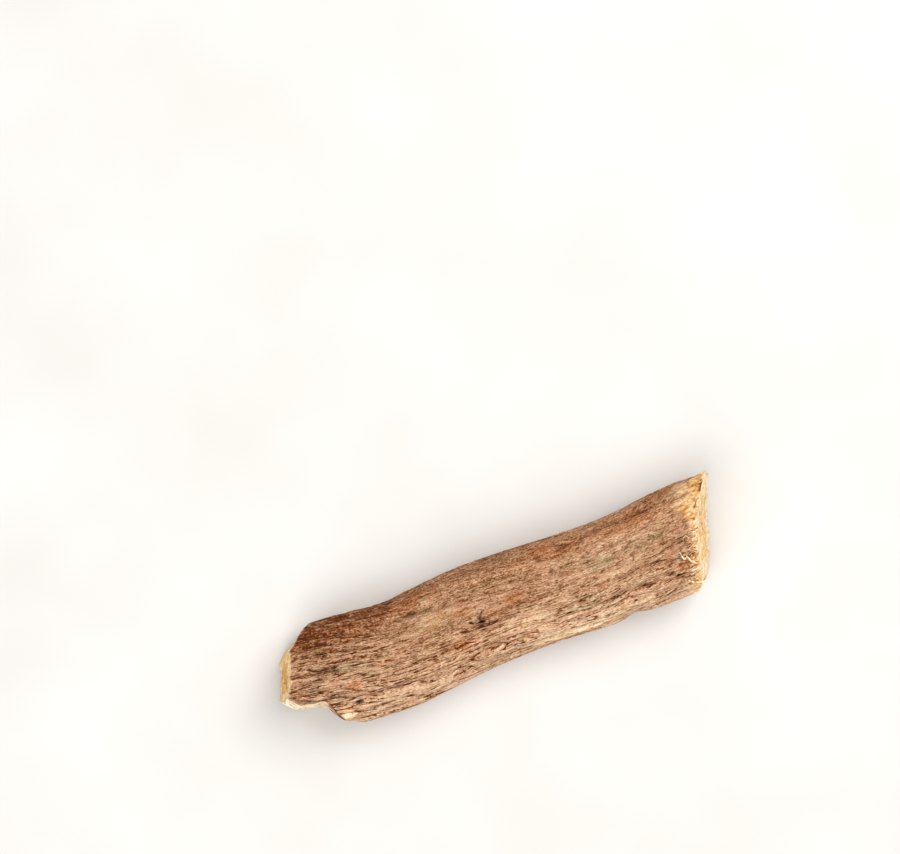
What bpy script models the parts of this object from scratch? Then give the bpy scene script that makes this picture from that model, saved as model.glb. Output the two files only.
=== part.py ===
"""A cut length of dried licorice root, about 78 mm long, lying on a small flat spot.

The root lies along X, with the plain cut at -X and the frayed cut at +X. Sizes are in millimetres and
become metres at the end. A place on the root is given by `along`, its distance along the root, and by
`angle`, which runs round the root from its +Y side over the top. A `grain` is an angle that has been turned
back by the root's twist, so it stays the same all the way along one ridge.
"""

import math

import bmesh
import bpy
from mathutils import Vector, noise

MM = 0.001

# How finely the root is divided: round it, along it, and inwards over each cut end.
SIDES = 96
RINGS = 53
END_RINGS = 4
RING_BUNCHING = 0.45  # rings lie closer together at both ends and at the knot

# Both cuts were made with the saw slanting across the root, and each leans a little to face up.
SLANT = math.tan(math.radians(20.0))
PLAIN_END = -38.2
PLAIN_LEAN = 0.22
FRAYED_END = 35.4
FRAYED_LEAN = 0.235

# The smooth form under the bark: place along the root, +Y edge, -Y edge, half the height, and how square
# the section is (2 is an ellipse).
STATIONS = (
    (-41.0, 8.6, -9.2, 5.9, 3.1),
    (-33.0, 8.4, -9.4, 6.1, 2.9),
    (-27.0, 7.9, -9.5, 6.3, 2.7),
    (-20.5, 7.6, -9.8, 6.5, 2.6),
    (-14.0, 8.3, -9.9, 6.8, 2.5),
    (-7.5, 8.9, -9.3, 7.0, 2.4),
    (-0.5, 8.7, -8.5, 6.9, 2.4),
    (10.0, 8.3, -8.4, 6.7, 2.5),
    (18.0, 8.4, -8.5, 6.7, 2.5),
    (26.0, 9.3, -8.3, 6.8, 2.6),
    (33.0, 9.9, -8.2, 6.9, 2.8),
    (38.0, 9.8, -7.4, 6.9, 3.0),
)

# What is missing at the plain end, where the +Y corner is rounded off and a chunk is torn out of the -Y
# flank, and at the frayed end's -Y corner. Each row is a place along the root and how far it still reaches.
CORNER = (
    (-40.5, 2.2), (-39.1, 4.2), (-38.7, 5.0), (-37.9, 5.6), (-37.0, 5.9),
    (-36.4, 6.4), (-35.9, 7.1), (-35.2, 7.9), (-33.6, 8.7), (-31.0, 9.5),
)
TORN = (
    (-40.0, -0.9), (-38.4, -2.2), (-36.3, -3.9), (-33.8, -4.6),
    (-31.4, -5.0), (-30.0, -6.0), (-28.5, -7.8), (-26.8, -8.6), (-24.0, -9.9),
)
FRAYED_CORNER = (
    (32.6, -9.4), (33.6, -8.5), (34.4, -7.9), (35.1, -7.0), (35.8, -5.9), (36.6, -4.2), (38.0, -1.0),
)

# The torn face leans back over the part of its height between these levels above the root's middle, and
# stands upright further along the root, past these places. Its fibres stand out from it.
TORN_LEAN = 1.1
TORN_LEAN_LEVELS = (-1.0, 6.0)
TORN_UPRIGHT = (-32.0, -29.5)
TORN_FIBRES = 0.3
TORN_FIBRE_LENGTH = 3.0
TORN_FIBRE_PITCH = 0.9

# The root rests where its belly is worn flat, and both ends rise a little.
WORN_DEPTH = 0.22
END_RISE = 1.2
HALF_LENGTH = 37.0
WORN_PATCH = 3.5

# Bark relief: slow swellings, and long ridges with narrow valleys between them. The ridges wander, are
# deeper on the -Y flank, and fade in patches. A start says where along the noise each of them is read.
BARK_RADIUS = 7.8
SWELLING = 0.3
SWELLING_LENGTH = 15.0
SWELLING_START = 3.7
RIDGE_LENGTH = 15.0
RIDGE_PITCH = 2.1
VALLEY_WIDTH = 0.2
VALLEY_DEPTH = 0.5
CROWN = 0.2
WANDER = 0.35
WANDER_LENGTH = 9.0
WANDER_PITCH = 5.0
WANDER_START = 11.3
MEAN_STRENGTH = 0.9
FLANK_STRENGTH = 0.25
FLANK_TURN = 0.3
PATCH_MEAN = 0.8
PATCH_CHANGE = 0.6
PATCH_LENGTH = 12.0
PATCH_PITCH = 4.0
PATCH_START = 23.1

# The grain turns slowly round the root: radians for each millimetre, and how fast that changes.
TWIST = 0.0057
TWIST_CHANGE = -0.000162

# Furrows on the top: both ends (x, y), half the width, and the depth.
FURROWS = (
    ((-31.2, 3.8), (-24.7, 2.5), 0.6, 0.35),
    ((-33.3, 1.7), (-28.2, 0.8), 0.6, 0.35),
    ((-32.6, -3.7), (-26.2, -5.9), 0.6, 0.4),
    ((-22.7, -6.0), (-13.6, -7.2), 0.6, 0.4),
    ((-15.8, 4.8), (-10.9, 4.8), 0.6, 0.35),
    ((-14.1, -6.6), (-8.4, -7.2), 0.6, 0.4),
    ((-3.3, -5.2), (0.5, -6.5), 0.6, 0.35),
    ((9.5, -5.6), (21.6, -5.7), 0.6, 0.4),
    ((16.7, -4.7), (25.6, -4.0), 0.6, 0.4),
    ((12.3, 6.7), (29.3, 7.9), 0.6, 0.3),
    ((23.5, -1.1), (29.9, -1.5), 0.6, 0.35),
    ((25.0, -3.4), (31.4, -5.9), 0.7, 0.5),
    ((29.3, 1.5), (32.6, 0.8), 0.6, 0.35),
)

# The knot left by a side root: a low collar round a pit, on the top.
KNOT = (-3.9, -0.5)
COLLAR_RADIUS = 3.0
COLLAR_HEIGHT = 0.4
PIT_RADIUS = 1.0
PIT_DEPTH = 1.3

# Scars of fine rootlets: place along the root, angle in degrees, radius, and height. Each has a dimple.
ROOTLET_SCARS = (
    (21.5, 71.0, 1.4, 0.35),
    (-22.5, 335.0, 1.6, 0.5),
    (13.5, 205.0, 1.5, 0.45),
    (-9.0, 238.0, 1.3, 0.4),
    (28.0, 300.0, 1.7, 0.5),
)
DIMPLE_DEPTH = 1.3  # of the scar's height
DIMPLE_RADIUS = 0.45  # of the scar's radius

# At the frayed end a wedge of bark has broken away on the top: its tip, and both its corners on the rim.
BARK_THICKNESS = 0.45
WEDGE = ((31.9, 7.2), (36.2, 7.9), (33.9, 2.2))
WEDGE_EDGE = 0.2

# Both cuts have a ragged rim and a slightly uneven face.
RIM_RAGGEDNESS = 0.35
RAG_PITCH = 1.6
RAG_START = 5.0
ENDS_APART = 40.0
CUT_ROUGHNESS = 0.3
CUT_GRAIN = 1.7

# Brings the middle of the finished root's box to the origin.
TO_ORIGIN = Vector((0.34, 0.15, 0.0))

BARK_COLOUR = (0.42, 0.235, 0.125)
BARK_ROUGHNESS = 0.85


def value_at(rows, along):
    """The last columns of rows of (place, value, ...) at a place, on a smooth curve through the rows."""
    last = len(rows) - 1
    index = max(0, min(last - 1, sum(row[0] <= along for row in rows) - 1))
    before, start = rows[max(index - 1, 0)], rows[index]
    end, after = rows[index + 1], rows[min(index + 2, last)]
    span = end[0] - start[0]
    step = max(0.0, min(1.0, (along - start[0]) / span))
    values = []
    for b, s, e, a in zip(before[1:], start[1:], end[1:], after[1:]):
        leave = (e - b) / (end[0] - before[0]) * span
        arrive = (a - s) / (after[0] - start[0]) * span
        cubic = 2 * s - 2 * e + leave + arrive
        square = 3 * e - 3 * s - 2 * leave - arrive
        values.append(((cubic * step + square) * step + leave) * step + s)
    return values


def smooth_step(low, high, value):
    """0 below low, 1 above high, and an S-shaped rise between them."""
    step = max(0.0, min(1.0, (value - low) / (high - low)))
    return step * step * (3.0 - 2.0 * step)


def bell(distance, radius):
    """1 at no distance, falling smoothly to nearly 0 at twice the radius."""
    return math.exp(-((distance / radius) ** 2))


def twist_at(along):
    """How far the grain has turned round the root, in radians."""
    return (TWIST + TWIST_CHANGE * along) * along


def noise_round(along, grain, length, pitch, start):
    """Smooth noise between about -0.7 and 0.7, drawn out along the grain, that closes up round the root."""
    around = BARK_RADIUS / pitch
    return noise.noise(Vector((along / length + start, around * math.cos(grain), around * math.sin(grain))))


def swelling(along, grain):
    """Slow lumps and hollows of the whole root."""
    return SWELLING * noise_round(along, grain, SWELLING_LENGTH, BARK_RADIUS, SWELLING_START)


def ridges(along, grain):
    """Long ridges with narrow valleys between them, deepest on the -Y flank and fading in places."""
    wander = WANDER * noise_round(along, grain, WANDER_LENGTH, WANDER_PITCH, WANDER_START)
    wave = noise_round(along, grain, RIDGE_LENGTH, RIDGE_PITCH, wander)
    flank = MEAN_STRENGTH - FLANK_STRENGTH * math.cos(grain - FLANK_TURN)
    patch = PATCH_MEAN + PATCH_CHANGE * noise_round(along, grain, PATCH_LENGTH, PATCH_PITCH, PATCH_START)
    return (CROWN - (CROWN + VALLEY_DEPTH) * bell(wave, VALLEY_WIDTH)) * flank * patch


def distance_to_line(x, y, start, end):
    """How far a point of the plan lies from the straight line between two others."""
    dx, dy = end[0] - start[0], end[1] - start[1]
    step = max(0.0, min(1.0, ((x - start[0]) * dx + (y - start[1]) * dy) / (dx * dx + dy * dy)))
    return math.hypot(x - start[0] - step * dx, y - start[1] - step * dy)


def furrows(x, y):
    """The deepest of the single furrows at a point of the top."""
    return max(depth * bell(distance_to_line(x, y, start, end), half_width)
               for start, end, half_width, depth in FURROWS)


def knot(x, y):
    """The knot's collar and the pit in its middle."""
    distance = math.hypot(x - KNOT[0], y - KNOT[1])
    return COLLAR_HEIGHT * bell(distance, COLLAR_RADIUS) - PIT_DEPTH * bell(distance, PIT_RADIUS)


def rootlet_scars(along, angle):
    """Low rings with a dimple, where fine rootlets broke off."""
    height = 0.0
    for place, degrees, radius, rise in ROOTLET_SCARS:
        turn = (angle - math.radians(degrees) + math.pi) % (2.0 * math.pi) - math.pi
        distance = math.hypot(along - place, turn * BARK_RADIUS)
        height += rise * (bell(distance, radius) - DIMPLE_DEPTH * bell(distance, DIMPLE_RADIUS * radius))
    return height


def left_of_line(x, y, start, end):
    """How far a point of the plan lies to the left of the line from start to end."""
    dx, dy = end[0] - start[0], end[1] - start[1]
    return (dx * (y - start[1]) - dy * (x - start[0])) / math.hypot(dx, dy)


def inside_wedge(x, y):
    """1 where the wedge of bark is missing from the top of the frayed end, 0 elsewhere."""
    tip, far, near = WEDGE
    depth_inside = min(left_of_line(x, y, tip, near), left_of_line(x, y, far, tip))
    return smooth_step(-WEDGE_EDGE, WEDGE_EDGE, depth_inside)


def bark_relief(along, angle, x, y):
    """How far the bark stands above the smooth form."""
    grain = angle - twist_at(along)
    relief = swelling(along, grain) + ridges(along, grain) + rootlet_scars(along, angle)
    if math.sin(angle) > 0.0:
        relief += knot(x, y) - furrows(x, y) - BARK_THICKNESS * inside_wedge(x, y)
    return relief


def ring_spread(share):
    """Where a ring lies between the ends, from 0 to 1, with rings closer together at ends and knot."""
    return share - RING_BUNCHING * math.sin(4.0 * math.pi * share) / (4.0 * math.pi)


def lean_at(share):
    """How far a ring leans along the root for each millimetre of height."""
    return PLAIN_LEAN * (1.0 - share) - FRAYED_LEAN * share


def cut_away(along, y, height, leaning):
    """y, brought in to what the rounded +Y corner and the torn -Y flank leave of the plain end.

    The height is above the root's middle, and leaning is how far the ring leans along the root at that
    height: the rounded corner stands upright although the cut beside it leans.
    """
    if along < TORN[-1][0]:
        (torn,) = value_at(TORN, along)
        lean = TORN_LEAN * (1.0 - smooth_step(*TORN_UPRIGHT, along))
        torn += lean * smooth_step(*TORN_LEAN_LEVELS, height)
        fibre = noise.noise(Vector((along / TORN_FIBRE_LENGTH, height / TORN_FIBRE_PITCH, 0.0)))
        torn += TORN_FIBRES * fibre
        y = max(y, torn)
    if along < CORNER[-1][0]:
        y = min(y, *value_at(CORNER, along + leaning))
    if along > FRAYED_CORNER[0][0]:
        y = max(y, *value_at(FRAYED_CORNER, along))
    return y


def rim_point(share, grain):
    """A point on the outside of the root, on the ring this far along it."""
    along = PLAIN_END + share * (FRAYED_END - PLAIN_END)
    angle = grain + twist_at(along)
    upper, lower, half_height, square = value_at(STATIONS, along)
    half_width = (upper - lower) / 2.0
    middle = (upper + lower) / 2.0
    middle_height = half_height - WORN_DEPTH + END_RISE * (along / HALF_LENGTH) ** 2
    across, up = math.cos(angle), math.sin(angle)
    reach = (abs(across / half_width) ** square + abs(up / half_height) ** square) ** (-1.0 / square)
    y, z = middle + reach * across, middle_height + reach * up
    x = along + SLANT * y
    worn = bell(math.hypot(x / 2.0, y), WORN_PATCH) if up < 0.0 else 0.0
    reach += bark_relief(along, angle, x, y) * (1.0 - worn)
    y, z = middle + reach * across, max(0.0, middle_height + reach * up)
    leaning = lean_at(share) * (z - middle_height)
    y = cut_away(along, y, z - middle_height, leaning)
    return Vector((along + SLANT * y + leaning, y, z)) + TO_ORIGIN


def end_centre(share):
    """The middle of a cut end, on the plane of the cut."""
    rim = [rim_point(share, math.radians(degrees)) for degrees in range(0, 360, 10)]
    return sum(rim, Vector()) / len(rim)


def ragged_rim_point(share, grain):
    """A point on the rim of a cut, where the bark's edge is ragged."""
    rag = RIM_RAGGEDNESS * noise_round(ENDS_APART * share, grain, 1.0, RAG_PITCH, RAG_START)
    return rim_point(share, grain) + Vector((rag, 0.0, 0.0))


def cut_point(share, inward, grain, centre):
    """A point on a cut end: inward runs from 0 at the rim to 1 at the middle."""
    point = rim_point(share, grain).lerp(centre, inward)
    rough = CUT_ROUGHNESS * noise.noise(point / CUT_GRAIN)
    return point + Vector((rough, 0.0, 0.0))


def root_point(ring, grain, centres):
    """Where a point of the ball that the root is shaped from goes, ring 0 being the frayed end's middle."""
    body_rings = RINGS - 2 * END_RINGS
    if ring < END_RINGS:
        return cut_point(1.0, 1.0 - ring / END_RINGS, grain, centres[1])
    if ring > RINGS - END_RINGS:
        return cut_point(0.0, 1.0 - (RINGS - ring) / END_RINGS, grain, centres[0])
    if ring in (END_RINGS, RINGS - END_RINGS):
        return ragged_rim_point(float(ring == END_RINGS), grain)
    return rim_point(ring_spread(1.0 - (ring - END_RINGS) / body_rings), grain)


def make_root_mesh():
    """A ball drawn out into the root, with its two poles at the middles of the cuts."""
    shape = bmesh.new()
    bmesh.ops.create_uvsphere(shape, u_segments=SIDES, v_segments=RINGS, radius=1.0)
    centres = (end_centre(0.0), end_centre(1.0))
    for vert in shape.verts:
        ring = round(math.acos(max(-1.0, min(1.0, vert.co.z))) / math.pi * RINGS)
        grain = math.atan2(vert.co.y, vert.co.x)
        vert.co = root_point(ring, grain, centres) * MM
    bmesh.ops.triangulate(shape, faces=shape.faces)
    bmesh.ops.recalc_face_normals(shape, faces=shape.faces)
    mesh = bpy.data.meshes.new("licorice_root")
    shape.to_mesh(mesh)
    shape.free()
    mesh.shade_smooth()
    mesh.set_sharp_from_angle(angle=math.radians(50.0))
    return mesh


def bark_material():
    """Dry, dull, grey-brown root bark."""
    material = bpy.data.materials.new("dried_root_bark")
    material.use_nodes = True
    shader = material.node_tree.nodes["Principled BSDF"]
    shader.inputs["Base Color"].default_value = (*BARK_COLOUR, 1.0)
    shader.inputs["Roughness"].default_value = BARK_ROUGHNESS
    shader.inputs["Metallic"].default_value = 0.0
    return material


def clear_scene():
    """Removes every object that the file starts with."""
    for thing in list(bpy.data.objects):
        bpy.data.objects.remove(thing, do_unlink=True)


def main():
    """Builds the root as one object, at its real size."""
    clear_scene()
    root = bpy.data.objects.new("licorice_root", make_root_mesh())
    root.data.materials.append(bark_material())
    bpy.context.scene.collection.objects.link(root)


if __name__ == "__main__":
    main()
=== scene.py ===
"""The looks of a cut length of dried licorice root that lies on a plain pale floor.

The root lies along X, with its plain cut at -X and its frayed cut at +X. A place on it is given by `along`,
its distance along the root, and by `angle`, which runs round it from its +Y side over the top. A `grain` is
an angle that has been turned back by the root's twist, so it stays the same all the way along one ridge.
Sizes are in millimetres and become metres when a mesh is made.
"""

import logging
import math
import random
from dataclasses import dataclass, field
from enum import Enum

import bmesh
import bpy
import numpy as np
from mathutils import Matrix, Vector, noise


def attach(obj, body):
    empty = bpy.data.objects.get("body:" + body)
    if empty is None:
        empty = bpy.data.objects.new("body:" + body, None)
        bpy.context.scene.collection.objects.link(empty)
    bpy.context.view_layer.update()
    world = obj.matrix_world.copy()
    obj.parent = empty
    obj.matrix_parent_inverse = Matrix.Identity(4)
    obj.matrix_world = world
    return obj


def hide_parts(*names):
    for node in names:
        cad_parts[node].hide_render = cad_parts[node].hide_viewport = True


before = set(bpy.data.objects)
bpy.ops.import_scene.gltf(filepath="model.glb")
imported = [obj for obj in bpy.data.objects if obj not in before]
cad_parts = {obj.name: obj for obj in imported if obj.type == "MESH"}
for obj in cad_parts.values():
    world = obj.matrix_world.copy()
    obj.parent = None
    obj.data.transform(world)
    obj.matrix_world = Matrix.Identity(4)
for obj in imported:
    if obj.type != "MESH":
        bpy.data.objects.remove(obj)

MM = 0.001
FULL_TURN = 2.0 * math.pi
ROOT_NODE = "licorice_root"
BODY = "root"
GRAIN_SPACE = "grain_space"
# The root's mean radius, which turns angles into distances round it.
BARK_RADIUS = 7.8
# A distance that is out of reach, a step that is too small to see, and a length that is next to none.
FAR_OFF = 1e3
SLIGHT = 1e-6
TINY = 1e-9

# A table's rows, x and y in the plan, where something begins and ends, and places with sRGB hex colours.
Array = np.ndarray
Rows = tuple[tuple[float, ...], ...]
Plan = tuple[float, float]
Levels = tuple[float, float]
Stops = tuple[tuple[float, str], ...]

# Brings the middle of the root's box to the origin: places below are given before this is added.
TO_ORIGIN = np.array((0.34, 0.15, 0.0))

log = logging.getLogger("licorice_root")


class Slot(Enum):
    """The record's material slots."""

    BARK = "root_bark"
    WOOD = "cut_wood"


class Mask(Enum):
    """What is kept for each point of a skin, as the name of a mesh attribute."""

    # The bark's paleness: its own tone, with painted highlight and painted shade that follow the relief.
    PALE = "paleness"
    RUST = "rust"
    ASH = "ash"
    BARE = "bare_wood"
    CREAM = "cream_wood"
    # How much shade is painted in cracks, pits and the hollows of broken edges.
    CRACK_SHADE = "crack"
    LINES = "line_strength"


def smooth_step(low: float, high: float, value: Array) -> Array:
    """Rises in an S shape from 0 at low to 1 at high."""
    step = np.clip((value - low) / (high - low), 0.0, 1.0)
    return step * step * (3.0 - 2.0 * step)


def bell(distance: Array, radius: float) -> Array:
    """Falls smoothly from 1 at no distance to nearly 0 at twice the radius."""
    return np.exp(-((distance / radius) ** 2))


def cloud(x: Array, y: Array, z: Array | float = 0.0) -> Array:
    """Reads smooth noise at points whose coordinates are broadcast against each other.

    Args:
        x: The points' x.
        y: Their y.
        z: Their z.

    Returns:
        Values between about -0.7 and 0.7.
    """
    x, y, z = np.broadcast_arrays(x, y, z)
    points = zip(x.ravel().tolist(), y.ravel().tolist(), z.ravel().tolist())
    return np.fromiter(map(noise.noise, points), float, x.size).reshape(x.shape)


def columns_at(rows: Rows, places: Array) -> list[Array]:
    """Reads rows of (place, value, ...) on a smooth curve through them.

    Args:
        rows: The rows, in order of their places.
        places: The places to read.

    Returns:
        One column for each value of the rows.
    """
    table, last = np.array(rows), len(rows) - 1
    index = np.clip(np.searchsorted(table[:, 0], places.ravel(), "right") - 1, 0, last - 1)
    before, start = table[np.maximum(index - 1, 0)], table[index]
    end, after = table[index + 1], table[np.minimum(index + 2, last)]
    span = end[:, :1] - start[:, :1]
    step = np.clip((places.reshape(-1, 1) - start[:, :1]) / span, 0.0, 1.0)
    leave = (end - before) / (end[:, :1] - before[:, :1]) * span
    arrive = (after - start) / (after[:, :1] - start[:, :1]) * span
    cubic = 2 * start - 2 * end + leave + arrive
    square = 3 * end - 3 * start - 2 * leave - arrive
    values = ((cubic * step + square) * step + leave) * step + start
    return [values[:, [column]] for column in range(1, table.shape[1])]


def near_line(x: Array, y: Array, start: Plan, end: Plan) -> tuple[Array, Array]:
    """Measures points of the plan against a line between two others.

    Args:
        x: The points' x.
        y: Their y.
        start: The line's start.
        end: Its end.

    Returns:
        How far each point lies from the line, and how far along it, from 0 to 1.
    """
    dx, dy = end[0] - start[0], end[1] - start[1]
    step = np.clip(((x - start[0]) * dx + (y - start[1]) * dy) / (dx * dx + dy * dy), 0.0, 1.0)
    return np.hypot(x - start[0] - step * dx, y - start[1] - step * dy), step


def left_of_line(x: Array, y: Array, start: Plan, end: Plan) -> Array:
    """Measures how far points of the plan lie to the left of the line from start to end."""
    dx, dy = end[0] - start[0], end[1] - start[1]
    return (dx * (y - start[1]) - dy * (x - start[0])) / math.hypot(dx, dy)


def patchwork(patches: Rows, x: Array, y: Array) -> Array:
    """Adds up soft patches of (x, y, length, width, strength) at points of the plan."""
    return sum(strength * np.exp(-(((x - middle_x) / length) ** 2) - ((y - middle_y) / width) ** 2)
               for middle_x, middle_y, length, width, strength in patches)


@dataclass(frozen=True)
class Wave:
    """Noise that is drawn out along the grain and closes up round the root."""

    length: float
    pitch: float
    start: float

    def read(self, along: Array, grain: Array, shift: Array | float = 0.0) -> Array:
        """Reads the noise, from about -0.7 to 0.7, at places along and round the root."""
        ahead, around = along / self.length + self.start + shift, BARK_RADIUS / self.pitch
        return cloud(ahead, around * np.cos(grain), around * np.sin(grain))


@dataclass(frozen=True)
class ThinLines:
    """Thin lines that follow the grain and die out at their ends, each with a lip along one side that gets a
    painted highlight.
    """

    wave: Wave
    half_width: float
    depth: float
    lip_highlight_offset: float = 0.24
    steepness: Levels = (0.4, 1.2)
    least_slope: float = 0.3

    def read(self, along: Array, grain: Array, shift: Array) -> tuple[Array, Array]:
        """Finds the lines.

        Args:
            along: Places along the root.
            grain: Places all round it, in a row.
            shift: How much further on the noise is read.

        Returns:
            How much each point is in a line, and how much it is on a lip.
        """
        wave = self.wave.read(along, grain, shift)
        two_steps = 2.0 * BARK_RADIUS * FULL_TURN / grain.size
        slope = (np.roll(wave, -1, axis=1) - np.roll(wave, 1, axis=1)) / two_steps * self.wave.pitch
        past = wave * np.sign(slope) * self.wave.pitch / np.maximum(np.abs(slope), self.least_slope)
        steep = smooth_step(*self.steepness, np.abs(slope))
        return bell(past, self.half_width) * steep, bell(past - self.lip_highlight_offset, self.half_width) * steep


@dataclass(frozen=True)
class Crack:
    """A narrow crack or pit in the top of the bark, sunk and painted dark with painted shade."""

    half_width: float
    depth: float
    dark: float
    route: tuple[Plan, ...]
    end_share: float = 0.35
    bluntness: int = 4

    def openness(self, x: Array, y: Array) -> Array:
        """Tells how open the crack is at points of the plan.

        Args:
            x: The points' x.
            y: Their y.

        Returns:
            Values from 0 away from the crack to 1 in its middle; it tapers towards both ends.
        """
        if len(self.route) == 1:
            return bell(np.hypot(x - self.route[0][0], y - self.route[0][1]), self.half_width)
        legs = list(zip(self.route, self.route[1:]))
        whole = sum(math.dist(*leg) for leg in legs)
        done, opened = 0.0, np.zeros_like(x)
        for leg in legs:
            distance, step = near_line(x, y, *leg)
            share = (done + step * math.dist(*leg)) / whole
            taper = 1.0 - np.abs(2.0 * share - 1.0) ** self.bluntness
            width = self.end_share + (1.0 - self.end_share) * taper
            opened = np.maximum(opened, bell(distance, self.half_width) * width)
            done += math.dist(*leg)
        return opened
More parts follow.
